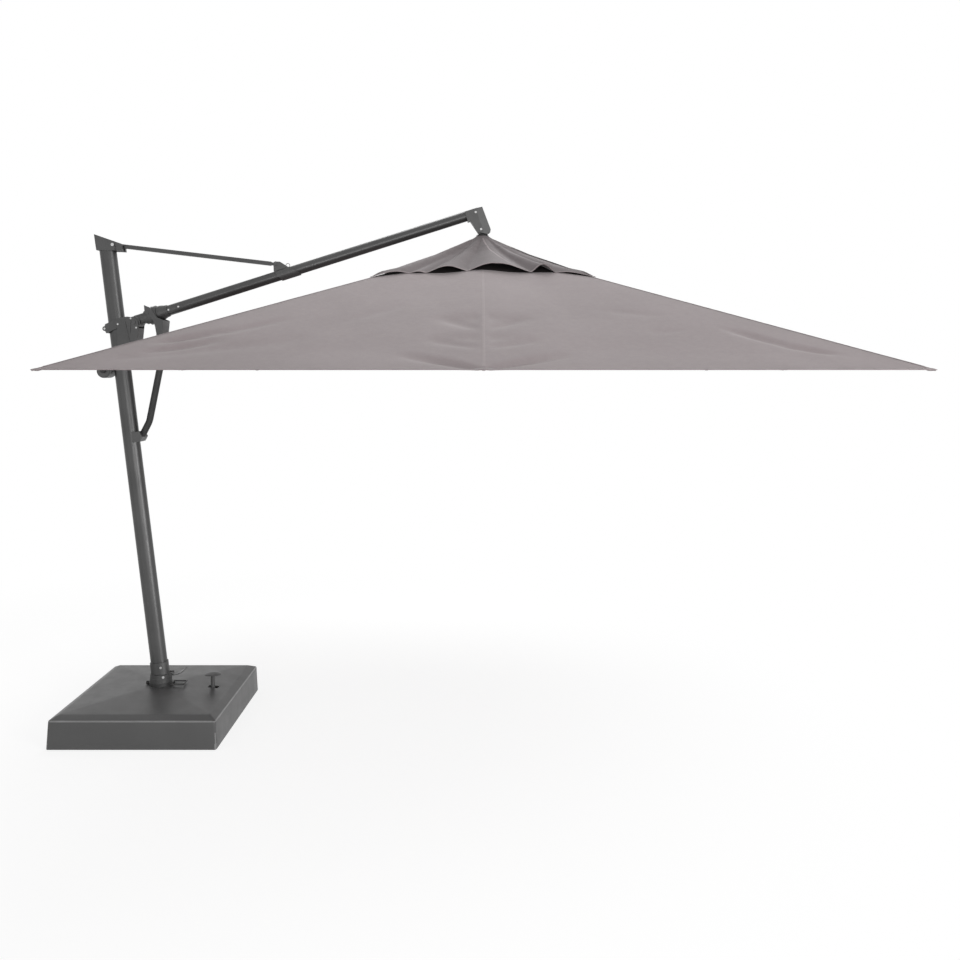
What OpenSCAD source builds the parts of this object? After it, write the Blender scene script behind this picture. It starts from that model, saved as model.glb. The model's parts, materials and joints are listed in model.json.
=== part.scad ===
// Cantilever patio umbrella with a weighted square base.
// Origin: centre of the base on the ground. +X runs out under the boom, +Z up. Millimetres.

/* [Canopy] */
// Side length of the square canopy at its hem
canopy_side = 3505; // [3200:5:3700]
// Height of the hub bolt over the rib pivots
hub_hang = 125.267; // [115:0.001:135]
// Distance of the hub axis in front of its bolt
hub_ahead = 7.958; // [4:0.001:12]
// Height of the rib pivots above the hem
rib_pivot_rise = 687.5; // [640:0.5:720]
// Thickness of the fabric
fabric_t = 1.5; // [1:0.1:2.5]
// Half width of the opening in the main fabric under the vent
vent_hole = 330; // [280:5:380]
// Half width of the vent cap at its corners
vent_half = 583; // [500:1:640]
// Half width of the vent cap between its corners
vent_mid = 469; // [400:1:500]
// How far the vent cap's edge lifts between the ribs
vent_lift = 45; // [20:1:60]
// Angle of a folded rib below horizontal
fold_angle = 86; // [80:0.5:87]

/* [Ribs] */
// Width of a rib tube
rib_w = 12; // [10:0.5:14]
// Depth of a rib tube
rib_d = 19.6; // [16:0.2:20]
// Wall of a rib tube
rib_wall = 1.5; // [1:0.1:2.5]
// Thickness of the flat tongues and stretcher bars
tongue_t = 8; // [6:0.5:9]
// Radius of the circle on which ribs and stretchers pivot
pivot_ring_r = 45; // [44:0.5:50]
// Radius of the small pivot pins
pivot_pin_r = 3; // [2.5:0.1:3.5]
// Depth of a stretcher pivot below the rib's centre line
stretcher_drop = 20; // [18:0.5:24]
// Runner distance below the rib pivots, canopy open
runner_open = 567; // [540:1:600]
// Runner distance below the rib pivots, canopy folded
runner_shut = 1500; // [1480:1:1520]

/* [Base] */
// Side of the base cover at the ground
base_side = 907; // [880:1:940]
// Height of the cover's side walls
wall_z = 152; // [140:1:160]
// How far each wall leans in at its top
wall_draft = 7; // [4:1:12]
// Width of the chamfer above the walls
chamfer_w = 42; // [30:1:50]
// Height of the chamfer above the walls
chamfer_h = 21; // [15:1:25]
// Height of the roof at the mast foot
roof_z = 195; // [190:1:205]
// Thickness of the cover
cover_t = 4; // [3:0.5:6]
// Radius of the cover's upright corners
corner_r = 20; // [10:1:40]
// Gap between the cover and the ground
cover_gap = 3; // [2:0.5:5]
// Length of a ballast slab along X
slab_x = 290; // [250:5:295]
// Length of a ballast slab along Y
slab_y = 350; // [300:5:355]
// Thickness of a ballast slab
slab_t = 115; // [80:5:118]

/* [Mast] */
// Lean of the mast away from the canopy
mast_lean = 7.1; // [5:0.1:9]
// Depth of the mast section, front to back
mast_depth = 94; // [84:1:100]
// Width of the mast section
mast_width = 76; // [68:1:78]
// Wall of the mast tube
mast_wall = 2.5; // [2:0.1:4]
// Length along the mast from its foot to the head pin
head_pin_h = 2517; // [2490:1:2540]
// Head pin's distance in front of the mast's centre line
head_pin_x = 45.5; // [44:0.5:48]
// Radius of the head pin and the strut's lower pin
strut_pin_r = 6; // [5:0.5:7]

/* [Carriage] */
// Length along the mast from its foot to the boom pivot
boom_pivot_h = 2057; // [2030:1:2080]
// Boom pivot's distance in front of the mast's centre line
boom_pivot_x = 114; // [110:1:118]
// Radius of the boom pivot pin
boom_pin_r = 8; // [6:0.5:10]
// Thickness of a carriage cheek
cheek_t = 5; // [4:0.5:7]
// Radius of the handle tube
handle_r = 18.7; // [15:0.1:20]
// Wall of the handle tube
handle_wall = 2; // [1.5:0.1:3]
// Radius of the crank's gear housing
gear_r = 42; // [36:1:44]

/* [Boom] */
// Upward angle of the boom
boom_angle = 17.6; // [16:0.1:19]
// Radius of the boom tube
boom_r = 30; // [27:0.5:31]
// Wall of the boom tube
boom_wall = 2.5; // [2:0.1:3.5]
// Height of the boom's centre line above its pivot, square to the boom
boom_offset = 10.2; // [8:0.2:12]
// Length along the boom from the pivot to the end bracket's bolts
bolt_t = 2070; // [2060:1:2080]
// Radius of the spindle on which the boom rolls
spindle_r = 24; // [20:0.5:24.5]
// Length along the boom from the pivot to the strut's lower pin
strut_pin_t = 876; // [860:1:890]
// Height of the strut's lower pin above the boom's centre line
strut_pin_n = 66.7; // [64:0.1:70]
// Depth of the strut bar
strut_d = 23; // [20:1:24]

/* [Fits] */
// Radial clearance of a pin or shaft in its hole
fit = 0.05; // [0.02:0.01:0.09]
// Clearance between faces that slide or turn past each other
slide_gap = 0.3; // [0.2:0.05:0.6]
// Clearance between pieces fixed to each other
seat_gap = 0.1; // [0.05:0.05:0.2]

/* [Hidden] */
$fn = 48;
ribs = 8;
each_rib = [1 : ribs];

charcoal = "#3d3e40";
cover_grey = "#6a6b6d";
steel = "silver";
fabric_grey = "#9a9595";
nylon = "#d8d6d0";
rubber = "#1c1c1c";
concrete = "#b4b1aa";

big = 4000;

// ---- mast frame: h runs up the mast, x forwards, from the foot point ----
foot_z = 240;
mast_top_h = head_pin_h - 17;
mast_bottom_h = 30;

function mast_point(x, h) = [
    x * cos(mast_lean) - h * sin(mast_lean), 0,
    foot_z + x * sin(mast_lean) + h * cos(mast_lean)
];

module mast_frame() translate([0, 0, foot_z]) rotate([0, -mast_lean, 0]) children();

// ---- boom frame: t runs along the boom from the pivot, n square to it from its centre line ----
pivot = mast_point(boom_pivot_x, boom_pivot_h);

function boom_point(t, n) = pivot + [
    t * cos(boom_angle) - (n + boom_offset) * sin(boom_angle), 0,
    t * sin(boom_angle) + (n + boom_offset) * cos(boom_angle)
];

module boom_frame() translate(boom_point(0, 0)) rotate([0, -boom_angle, 0]) children();

module along_boom(t) translate([t, 0, 0]) rotate([0, 90, 0]) children();

// ---- strut frame: x runs from the head pin to the sleeve pin ----
head_pin_at = mast_point(head_pin_x, head_pin_h);
sleeve_pin_at = boom_point(strut_pin_t, strut_pin_n);
strut_vector = sleeve_pin_at - head_pin_at;
strut_length = norm(strut_vector);
strut_slope = atan2(strut_vector[2], strut_vector[0]);

module strut_frame() translate(head_pin_at) rotate([0, -strut_slope, 0]) children();

// ---- canopy geometry ----
canopy_half = canopy_side / 2;
bracket_drop = 103;
hub_bolt_at = boom_point(bolt_t, -bracket_drop);
canopy_x = hub_bolt_at[0] + hub_ahead;
rib_pivot_z = hub_bolt_at[2] - hub_hang;
hem_z = rib_pivot_z - rib_pivot_rise;
fabric_drop = 11;
tip_axis_z = hem_z - fabric_drop;

function azimuth(i) = (i - 1) * 360 / ribs;
function is_corner(i) = i % 2 == 0;
function plan_reach(i) = canopy_half * (is_corner(i) ? sqrt(2) : 1);
function rib_slope(i) = atan((rib_pivot_z - tip_axis_z) / (plan_reach(i) - pivot_ring_r));

// Distance along the rib to the stretcher pivot that lets the linkage close when open and folded
function stretcher_at(i) = let (a = rib_slope(i))
    (pow(runner_shut, 2) - pow(runner_open, 2)
     - 2 * runner_shut * stretcher_drop * cos(fold_angle)
     + 2 * runner_open * stretcher_drop * cos(a))
    / (2 * runner_shut * sin(fold_angle) - 2 * runner_open * sin(a));

// Stretcher pivot in the rib's plane, from the rib pivot: [outwards, up]
function stretcher_pivot(i) = let (a = rib_slope(i), p = stretcher_at(i))
    [p * cos(a) - stretcher_drop * sin(a), -p * sin(a) - stretcher_drop * cos(a)];
function stretcher_run(i) = [-stretcher_pivot(i)[0], -runner_open - stretcher_pivot(i)[1]];
function stretcher_length(i) = norm(stretcher_run(i));

module rib_plane(i) translate([canopy_x, 0, rib_pivot_z]) rotate([0, 0, azimuth(i)])
    translate([pivot_ring_r, 0, 0]) children();

// ---- shared shapes ----
module stadium(depth, width, grow = 0) {
    shift = (depth - width) / 2;
    for (side = [-1, 1]) translate([side * shift, 0]) circle(r = width / 2 + grow, $fn = 64);
    square([2 * shift, width + 2 * grow], center = true);
}

module mast_column(grow, h0, h1) translate([0, 0, h0])
    linear_extrude(h1 - h0) stadium(mast_depth, mast_width, grow);

// Cylinder along Y, centred
module cross(r, len) rotate([90, 0, 0]) cylinder(r = r, h = len, center = true);

// Side profile extruded along Y, centred: points are [x, z]
module side_plate(points, width) rotate([90, 0, 0])
    linear_extrude(width, center = true) polygon(points);

// Cross bolt along Y with a head at each end
module cross_bolt(r, head_r, grip, head_t) {
    cross(r, grip);
    for (side = [-1, 1]) translate([0, side * (grip + head_t) / 2, 0]) cross(head_r, head_t);
}

// ======== base ========
cover_half = base_side / 2;
shoulder_half = cover_half - wall_draft;
chamfer_half = shoulder_half - chamfer_w;
roof_flat = 80;

module corner_ring(half, z, r) for (x = [-1, 1], y = [-1, 1])
    translate([x * (half - r), y * (half - r), z]) cylinder(r = r, h = 0.01, $fn = 32);

module cover_form(inset, drop) hull() {
    corner_ring(cover_half - inset, cover_gap - (inset > 0 ? 1 : 0), corner_r - inset);
    corner_ring(shoulder_half - inset, wall_z - drop, corner_r - inset);
    corner_ring(chamfer_half - inset, wall_z + chamfer_h - drop, corner_r - inset);
    corner_ring(roof_flat, roof_z - drop, corner_r);
}

socket_r = 45;
post_x = 302;
post_r = 12;
slot_back = post_x - 27;
slot_front = post_x + 33;

module base_cover() color(cover_grey) difference() {
    cover_form(0, 0);
    cover_form(cover_t, cover_t);
    cylinder(r = socket_r + slide_gap, h = big);
    translate([slot_back, -post_r - 6, wall_z])
        cube([slot_front - slot_back, 2 * post_r + 12, wall_z]);
}

tray_z = 6;
tray_t = 4;
tray_top = tray_z + tray_t;
tray_half = cover_half - cover_t - 1.2;
tray_corner = corner_r - cover_t;
wheel_x = 382;
wheel_y = 270;
wheel_r = 28;
wheel_w = 24;
wheel_lift = 4;
wheel_z = wheel_r + wheel_lift;
arm_pivot_x = 200;
arm_z = 62;
arm_pin_r = 4;
arm_w = 14;
ear_t = 5;

module base_tray() color(charcoal) difference() {
    union() {
        for (turn = [0, 90]) rotate([0, 0, turn])
            translate([-tray_half, tray_corner - tray_half, tray_z])
                cube([2 * tray_half, 2 * (tray_half - tray_corner), tray_t]);
        for (x = [-1, 1], y = [-1, 1])
            translate([x * (tray_half - tray_corner), y * (tray_half - tray_corner), tray_z])
                cylinder(r = tray_corner, h = tray_t);
        for (side = [-1, 1]) translate([arm_pivot_x - 14, 0, tray_top])
            translate([0, side * (arm_w / 2 + slide_gap + ear_t / 2) - ear_t / 2, 0])
                cube([28, ear_t, arm_z + 10 - tray_top]);
    }
    for (x = [-1, 1], y = [-1, 1]) translate([x * wheel_x, y * wheel_y, 0])
        cube([2 * wheel_r + 8, wheel_w + 8, big / 100], center = true);
    translate([arm_pivot_x, 0, arm_z]) cross(arm_pin_r + fit, 60);
    for (a = [45 : 90 : 315]) rotate([0, 0, a])
        translate([socket_bolt_ring, 0, 0]) cylinder(r = socket_bolt_r + seat_gap, h = big / 100);
}

slab_gap = 50;
slab_z = 60;

module ballast_slabs() color(concrete) for (x = [-1, 1], y = [-1, 1])
    translate([x * (slab_gap + slab_x / 2), y * (slab_gap + slab_y / 2), slab_z])
        union() {
            translate([0, 0, slab_t / 2 - 5]) cube([slab_x, slab_y, slab_t - 10], center = true);
            for (foot = [-1, 1]) translate([foot * slab_x / 3, 0, (tray_top - slab_z) / 2])
                cube([40, slab_y - 40, slab_z - tray_top], center = true);
        }

socket_bolt_ring = 74;
socket_bolt_r = 5;
socket_flange_t = 8;
shaft_r = 25;
shaft_z = 40;
ring_r = 63;
ring_top = roof_z + 19;
knob_r = 11;

module mast_socket() color(charcoal) difference() {
    union() {
        translate([0, 0, tray_top]) cylinder(r = 88, h = socket_flange_t);
        cylinder(r = socket_r, h = ring_top);
        translate([0, 0, roof_z + seat_gap]) cylinder(r = ring_r, h = ring_top - roof_z - seat_gap);
        translate([0, -loop_half + loop_wire + 2, roof_z + seat_gap])
            cube([loop_x + 7, 2 * (loop_half - loop_wire - 2), ring_top - roof_z - 3]);
    }
    translate([loop_x, 0, loop_z]) cross(loop_wire + fit, 100);
    cylinder(r = big, h = tray_top);
    translate([0, 0, shaft_z]) cylinder(r = shaft_r + fit, h = big);
    for (a = [45 : 90 : 315]) rotate([0, 0, a]) translate([socket_bolt_ring, 0, 0])
        cylinder(r = socket_bolt_r + seat_gap, h = tray_top + socket_flange_t);
    translate([-ring_r, 0, knob_z]) rotate([0, 90, 0]) cylinder(r = 4 + fit, h = 44, center = true);
}

module socket_bolts() color(steel) for (a = [45 : 90 : 315]) rotate([0, 0, a])
    translate([socket_bolt_ring, 0, 0]) {
        translate([0, 0, tray_z]) cylinder(r = socket_bolt_r, h = tray_t + socket_flange_t);
        translate([0, 0, tray_top + socket_flange_t]) cylinder(r = 9, h = 6, $fn = 6);
    }

foot_r = 32;
foot_at = cover_half - 53.5;

module rubber_feet() color(rubber) {
    cylinder(r = foot_r, h = tray_z);
    for (x = [-1, 1], y = [-1, 1]) translate([x * foot_at, y * foot_at, 0])
        cylinder(r = foot_r, h = tray_z);
}

knob_z = (roof_z + ring_top) / 2 + 0.3;

module lock_knob() color(rubber) translate([-ring_r, 0, knob_z]) rotate([0, -90, 0]) {
    translate([0, 0, -20]) cylinder(r = 4, h = 22);
    difference() {
        translate([0, 0, slide_gap]) cylinder(r = knob_r - 1.5, h = 20);
        for (a = [0 : 60 : 300]) rotate([0, 0, a]) translate([knob_r + 2, 0, 6]) cylinder(r = 4, h = 20);
    }
}

// ---- wheels that the pedal lowers ----
frame_bar = 14;
frame_half_x = 420;
frame_half_y = 414;
frame_z = 25;
prong_x = post_x - 17;
prong_gap = arm_w / 2 + 4;

module wheel_frame() color(charcoal) difference() {
    union() {
        for (x = [-1, 1]) translate([x * frame_half_x, 0, frame_z + frame_bar / 2])
            cube([frame_bar, 2 * frame_half_y + frame_bar, frame_bar], center = true);
        for (y = [-1, 1]) translate([0, y * frame_half_y, frame_z + frame_bar / 2])
            cube([2 * frame_half_x, frame_bar, frame_bar], center = true);
        for (x = [-1, 1], y = [-1, 1], s = [-1, 1])
            translate([x * (wheel_x + frame_half_x) / 2, y * wheel_y + s * (wheel_w / 2 + 6),
                frame_z + frame_bar * 0.75])
                cube([frame_half_x - wheel_x + 2 * frame_bar, 6, frame_bar * 1.5], center = true);
        for (side = [-1, 1]) translate([prong_x - 8, side * (prong_gap + 5) - 5, frame_z])
            cube([frame_half_x - prong_x + 8, 10, frame_bar]);
    }
    for (x = [-1, 1]) translate([x * wheel_x, 0, wheel_z]) cross(5 + fit, 2 * frame_half_y - 40);
}

module wheel_set(x) color(rubber) {
    for (y = [-1, 1]) translate([x, y * wheel_y, wheel_z]) cross(wheel_r, wheel_w - 2 * slide_gap);
    translate([x, 0, wheel_z]) cross(5, 2 * wheel_y + wheel_w + 30);
}
module front_wheels() wheel_set(wheel_x);
module rear_wheels() wheel_set(-wheel_x);

pad_w = 66;
pad_l = 96;
pad_z = 251;

module wheel_pedal() color(charcoal) {
    translate([arm_pivot_x, 0, arm_z]) cross(arm_pin_r, arm_w + 2 * (ear_t + slide_gap) + 4);
    translate([arm_pivot_x, 0, arm_z]) cross(11, arm_w);
    translate([arm_pivot_x, -arm_w / 2, arm_z - 7]) cube([post_x - arm_pivot_x, arm_w, 14]);
    translate([prong_x, 0, frame_z + frame_bar + 5 + slide_gap]) cross(5, 2 * (prong_gap + 10));
    translate([prong_x - 4, -arm_w / 2, frame_z + frame_bar + 5]) cube([8, arm_w, 20]);
    translate([post_x, 0, arm_z - 7]) cylinder(r = post_r, h = pad_z - arm_z + 9);
    intersection() {
        translate([post_x, 0, pad_z]) linear_extrude(14) stadium(pad_l, pad_w);
        translate([post_x, 0, pad_z - 86]) sphere(r = 100, $fn = 96);
    }
}

// ======== mast ========
collar_z = ring_top + slide_gap;
flange_z = 240;
flange_top = 262;

module foot_collar() color(charcoal) difference() {
    union() {
        translate([0, 0, shaft_z + slide_gap]) cylinder(r = shaft_r, h = collar_z - shaft_z);
        translate([0, 0, collar_z]) cylinder(r = ring_r - 2, h = flange_z - collar_z);
        translate([0, 0, flange_z]) cylinder(r = ring_r - 4, h = flange_top - flange_z);
        mast_frame() mast_column(5, 12, 88);
        for (side = [-1, 1]) translate([38, side * (pedal_boss_w / 2 + slide_gap + 2.5) - 2.5, flange_z])
            cube([pedal_pivot[0] + 8 - 38, 5, 28]);
    }
    mast_frame() mast_column(seat_gap, mast_bottom_h - seat_gap, 200);
    mast_frame() translate([22, 0, 62]) cross(4 + seat_gap, 2 * mast_width);
    for (a = [-60, 60]) rotate([0, 0, a]) translate([50, 0, (flange_z + flange_top) / 2])
        rotate([0, 90, 0]) cylinder(r = 4 + seat_gap, h = 30);
    translate([pedal_pivot[0] - 7.5, -pedal_boss_w / 2 - slide_gap, flange_z + 6])
        cube([30, pedal_boss_w + 2 * slide_gap, 40]);
    translate([pedal_pivot[0], 0, pedal_pivot[1]]) cross(pedal_pin_r + fit, 80);
}

module mast_bolts() color(steel) {
    for (a = [-60, 60]) rotate([0, 0, a]) translate([0, 0, (flange_z + flange_top) / 2])
        rotate([0, 90, 0]) {
            translate([0, 0, 51]) cylinder(r = 4, h = ring_r - 55);
            translate([0, 0, ring_r - 4]) cylinder(r = 7, h = 4);
        }
    mast_frame() translate([22, 0, 62]) cross_bolt(4, 7, mast_width + 10, 4);
    translate(head_pin_at) cross_bolt(strut_pin_r, 9, hood_w, 3);
}

module mast_tube() color(charcoal) mast_frame() difference() {
    mast_column(0, mast_bottom_h, mast_top_h);
    mast_column(-mast_wall, mast_bottom_h - 1, mast_top_h + 1);
    translate([22, 0, 62]) cross(4 + seat_gap, 2 * mast_width);
}

hood_w = 82;
strut_w = 24;
strut_slot = strut_w / 2 + 1.5;

module mast_head() color(charcoal) mast_frame() difference() {
    side_plate([
        [-mast_depth / 2 - 6, head_pin_h + 73], [-mast_depth / 2 - 5, head_pin_h + 10],
        [-mast_depth / 2 - 4, head_pin_h - 20], [mast_depth / 2, head_pin_h - 34],
        [mast_depth / 2 + 48, head_pin_h - 43], [mast_depth / 2 + 49, head_pin_h - 1]
    ], hood_w);
    mast_column(seat_gap, head_pin_h - 300, mast_top_h + seat_gap);
    translate([6, -strut_slot, head_pin_h - 80]) cube([200, 2 * strut_slot, 200]);
    translate([head_pin_x, 0, head_pin_h]) cross(strut_pin_r + seat_gap, 2 * hood_w);
    translate([mast_depth / 2 + 20, 0, head_pin_h])
        for (side = [-1, 1]) translate([18, side * (hood_w / 2), -60])
            cube([60, 18, 200], center = true);
}

pedal_pivot = [62, flange_z + 18];
pedal_pin_r = 3.5;
pedal_boss_w = 31;
pedal_bend = 90;

module swivel_pedal() color(charcoal) translate([pedal_pivot[0], 0, pedal_pivot[1]]) {
    cross(pedal_pin_r, pedal_boss_w + 2 * slide_gap + 10);
    cross(6.5, pedal_boss_w);
    translate([0, -pedal_boss_w / 2, -2]) cube([22, pedal_boss_w, 4]);
    translate([18, 0, pedal_bend - 2]) intersection() {
        difference() {
            cross(pedal_bend, 62);
            cross(pedal_bend - 4, 64);
        }
        translate([0, -31, -big]) cube([64, 62, big]);
    }
}

loop_x = ring_r + 3;
loop_wire = 4;
loop_half = 31;
loop_z = ring_top - 10;
loop_reach = 74.5;

module lock_loop() color(charcoal) translate([loop_x, 0, loop_z]) {
    cross(loop_wire, 2 * loop_half);
    for (side = [-1, 1]) translate([0, side * loop_half, 0]) {
        rotate([0, 90, 0]) cylinder(r = loop_wire, h = loop_reach);
        sphere(r = loop_wire);
        translate([loop_reach, 0, 0]) sphere(r = loop_wire);
    }
    translate([loop_reach, 0, 0]) cross(loop_wire, 2 * loop_half);
}

// ======== carriage ========
cheek_in = mast_width / 2 + 3;
cheek_out = cheek_in + cheek_t;
bore_grow = 3;
nose_r = 14;
nose_x = -56;
band_h = boom_pivot_h - 16;
low_band_h = [boom_pivot_h - 252, boom_pivot_h - 197];
crank_at = [-mast_depth / 2 - 46, boom_pivot_h - 256];

module band_profile() translate([0, 0, band_h]) union() {
    side_plate([
        [nose_x, -nose_r], [-51, -27], [12, -8], [14, 46], [-51, 25], [nose_x, nose_r]
    ], 2 * cheek_out);
    translate([nose_x, 0, 0]) cross(nose_r, 2 * cheek_out);
}

cheek_outline = [
    [12, boom_pivot_h + 30], [44, boom_pivot_h + 36], [80, boom_pivot_h + 37],
    [118, boom_pivot_h + 28], [138, boom_pivot_h + 8], [139, boom_pivot_h - 25],
    [124, boom_pivot_h - 92], [112, low_band_h[1]], [100, low_band_h[0]],
    [4, low_band_h[0]], [6, boom_pivot_h - 107], [14, boom_pivot_h - 38]
];
rib_lines = [
    [[62, boom_pivot_h + 24], [74, boom_pivot_h - 100]],
    [[96, boom_pivot_h + 14], [84, boom_pivot_h - 58]]
];
front_web = [
    [137, boom_pivot_h - 36], [124, boom_pivot_h - 92], [112, low_band_h[1]],
    [106, low_band_h[1]], [118, boom_pivot_h - 92], [130, boom_pivot_h - 38]
];
screw_points = [
    [22, boom_pivot_h], [100, boom_pivot_h + 24], [125, boom_pivot_h - 33], [60, low_band_h[0] + 26]
];

module stiffener(line, side) {
    run = line[1] - line[0];
    translate([line[0][0], side * (cheek_out + 1), line[0][1]])
        rotate([0, atan2(run[0], run[1]), 0])
            translate([-3.5, -2, 0]) cube([7, 4, norm(run)]);
}

module carriage_body() color(charcoal) mast_frame() difference() {
    union() {
        band_profile();
        side_plate(front_web, 2 * cheek_in + 1);
        for (side = [-1, 1]) {
            translate([0, side * (cheek_in + cheek_out) / 2, 0]) side_plate(cheek_outline, cheek_t);
            for (line = rib_lines) stiffener(line, side);
        }
        side_plate([
            [-mast_depth / 2 - 12, low_band_h[0]], [100, low_band_h[0]],
            [106, low_band_h[0] + 40], [60, low_band_h[1]], [-mast_depth / 2 - 12, low_band_h[1]]
        ], 2 * cheek_out);
        translate([crank_at[0] + 20, 0, low_band_h[0] + 24]) cube([44, 44, 40], center = true);
    }
    mast_column(bore_grow, low_band_h[0] - 300, head_pin_h);
    translate([crank_at[0], 0, crank_at[1]]) cross(gear_r + seat_gap, 120);
    translate([boom_pivot_x, 0, boom_pivot_h]) cross(boom_pin_r + seat_gap, 200);
    translate([nose_x - 1, 0, band_h]) cross(3.5 + seat_gap, 200);
    for (p = screw_points) translate([p[0], 0, p[1]]) cross(2.5 + seat_gap, 200);
    translate([handle_top[0] - 200, 0, handle_top[1]]) rotate([0, 90, 0])
        translate([0, 0, 200 - 30]) cylinder(r = handle_r + bend_thinning + seat_gap, h = 200);
}

module glide_pads() color(nylon) mast_frame() for (h = [band_h - 4, low_band_h[0] + 12])
    difference() {
        mast_column(bore_grow - seat_gap, h, h + 24);
        mast_column(slide_gap, h - 1, h + 25);
        for (p = screw_points) translate([p[0], 0, p[1]]) cross(2.5 + seat_gap, 200);
    }

module carriage_screws() color(steel) mast_frame() {
    translate([nose_x - 1, 0, band_h]) cross_bolt(3.5, 6, 2 * cheek_out, 3);
    for (p = screw_points, side = [-1, 1])
        translate([p[0], side * cheek_out, p[1]]) {
            translate([0, -side * cheek_t / 2, 0]) cross(2.5, cheek_t);
            translate([0, side * 1.5, 0]) cross(5, 3);
        }
}

module boom_pin() color(steel) mast_frame() translate([boom_pivot_x, 0, boom_pivot_h])
    cross_bolt(boom_pin_r, 12, 2 * cheek_out, 4);

crank_shaft_r = 7;
housing_w = 80;

module crank_housing() color(charcoal) mast_frame() translate([crank_at[0], 0, crank_at[1]])
    difference() {
        union() {
            cross(gear_r, housing_w);
            cross(gear_r - 8, housing_w + 10);
        }
        translate([0, -housing_w / 2, 0]) cross(crank_shaft_r + fit, housing_w);
    }

crank_len = 120;
crank_y = -housing_w / 2 - 7;
crank_rest = 55;

module crank_arm() color(charcoal) mast_frame() translate([crank_at[0], 0, crank_at[1]])
rotate([0, crank_rest, 0]) {
    translate([0, crank_y + 5, 0]) cross(crank_shaft_r, 30);
    translate([0, crank_y - 9, 0]) cross(14, 8);
    translate([-9, crank_y - 13, 0]) cube([18, 8, crank_len]);
    translate([0, crank_y - 9, crank_len]) cross(9, 8);
    translate([0, crank_y - 40, crank_len]) cross(6, 70);
    translate([0, crank_y - 48, crank_len]) cross(13, 60);
}

// Handle tube path in the mast frame: [forwards, up the mast]
handle_root = 30;
handle_reach = 122;
handle_drop = 217;
knee_reach = 3;
knee_drop = 578;
end_drop = 653;
top_bend = 55;
knee_bend = 130;
handle_top = [boom_pivot_x - handle_root, boom_pivot_h - handle_drop];
handle_corner = [boom_pivot_x + handle_reach, boom_pivot_h - handle_drop];
handle_knee = [boom_pivot_x + knee_reach, boom_pivot_h - knee_drop];
handle_end = [mast_depth / 2 + handle_r + 0.8, boom_pivot_h - end_drop];
handle_path = [handle_top, handle_corner, handle_knee, handle_end];
handle_bends = [0, top_bend, knee_bend, 0];
bend_thinning = 0.3;
bend_lap = 3;

function unit(v) = v / norm(v);
function turn_angle(a, b, c) = let (u = unit(b - a), w = unit(c - b))
    atan2(u[0] * w[1] - u[1] * w[0], u * w);
function bend_setback(path, bends, k) = bends[k] == 0 ? 0
    : bends[k] * tan(abs(turn_angle(path[k - 1], path[k], path[k + 1])) / 2);

// Round bar along a path in the XZ plane, bent at its inner points. The straight lengths are a
// hair thicker than the bends and lap over their ends.
module bent_bar(path, bends, r) {
    for (k = [0 : len(path) - 2]) {
        u = unit(path[k + 1] - path[k]);
        start = path[k] + u * (bend_setback(path, bends, k) - bend_lap);
        stop = path[k + 1] - u * (bend_setback(path, bends, k + 1) - bend_lap);
        translate([start[0], 0, start[1]]) rotate([0, atan2(u[0], u[1]), 0])
            cylinder(r = r + bend_thinning, h = norm(stop - start));
    }
    for (k = [1 : len(path) - 2]) {
        u = unit(path[k] - path[k - 1]);
        turn = turn_angle(path[k - 1], path[k], path[k + 1]);
        side = sign(turn);
        start = path[k] - u * bend_setback(path, bends, k);
        centre = start + side * bends[k] * [-u[1], u[0]];
        from = atan2(start[1] - centre[1], start[0] - centre[0]);
        translate([centre[0], 0, centre[1]]) rotate([90, 0, 0]) rotate([0, 0, min(from, from + turn)])
            rotate_extrude(angle = abs(turn)) translate([bends[k], 0]) circle(r = r);
    }
}

module handle_tube() color(charcoal) mast_frame() difference() {
    bent_bar(handle_path, handle_bends, handle_r);
    bent_bar(handle_path, handle_bends, handle_r - handle_wall);
}

module handle_shoe() color(charcoal) mast_frame() difference() {
    union() {
        side_plate([
            [20, handle_end[1] - 35], [mast_depth / 2 + 16, handle_end[1] - 35],
            [mast_depth / 2 + 34, handle_end[1] - 9], [mast_depth / 2 + 20, handle_end[1] + 25],
            [20, handle_end[1] + 25]
        ], mast_width + 14);
    }
    mast_column(slide_gap, handle_end[1] - 200, handle_end[1] + 200);
    translate([-big, -big / 2, 0]) cube([big + 19, big, big]);
    bent_bar(handle_path, handle_bends, handle_r + seat_gap);
}

// ======== boom ========
root_r = 32;
collar_in = [84, 136];
tilt_gap = slide_gap;
outer_start = collar_in[1] + tilt_gap;
tube_start = outer_start + 30;
outer_end = 198;
lever_pivot = [94, 16];
lever_pin_r = 5;
inner_collar_r = 50;
fork_in = 51;
fork_t = 5;

module boom_root() color(charcoal) boom_frame() difference() {
    union() {
        translate([0, 0, -boom_offset]) cross(root_r + 2, 2 * (cheek_in - slide_gap));
        along_boom(0) cylinder(r = root_r, h = collar_in[0]);
        along_boom(62) cylinder(r = 40, h = 24);
        along_boom(collar_in[0]) cylinder(r = inner_collar_r, h = collar_in[1] - collar_in[0]);
        along_boom(collar_in[1]) cylinder(r = spindle_r, h = tube_start - collar_in[1] - 2);
    }
    translate([0, 0, -boom_offset]) cross(boom_pin_r + fit, 200);
    for (side = [-1, 1]) translate([lever_pivot[0], side * 42, lever_pivot[1]])
        cross(lever_pin_r + fit, 20);
}

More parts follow.
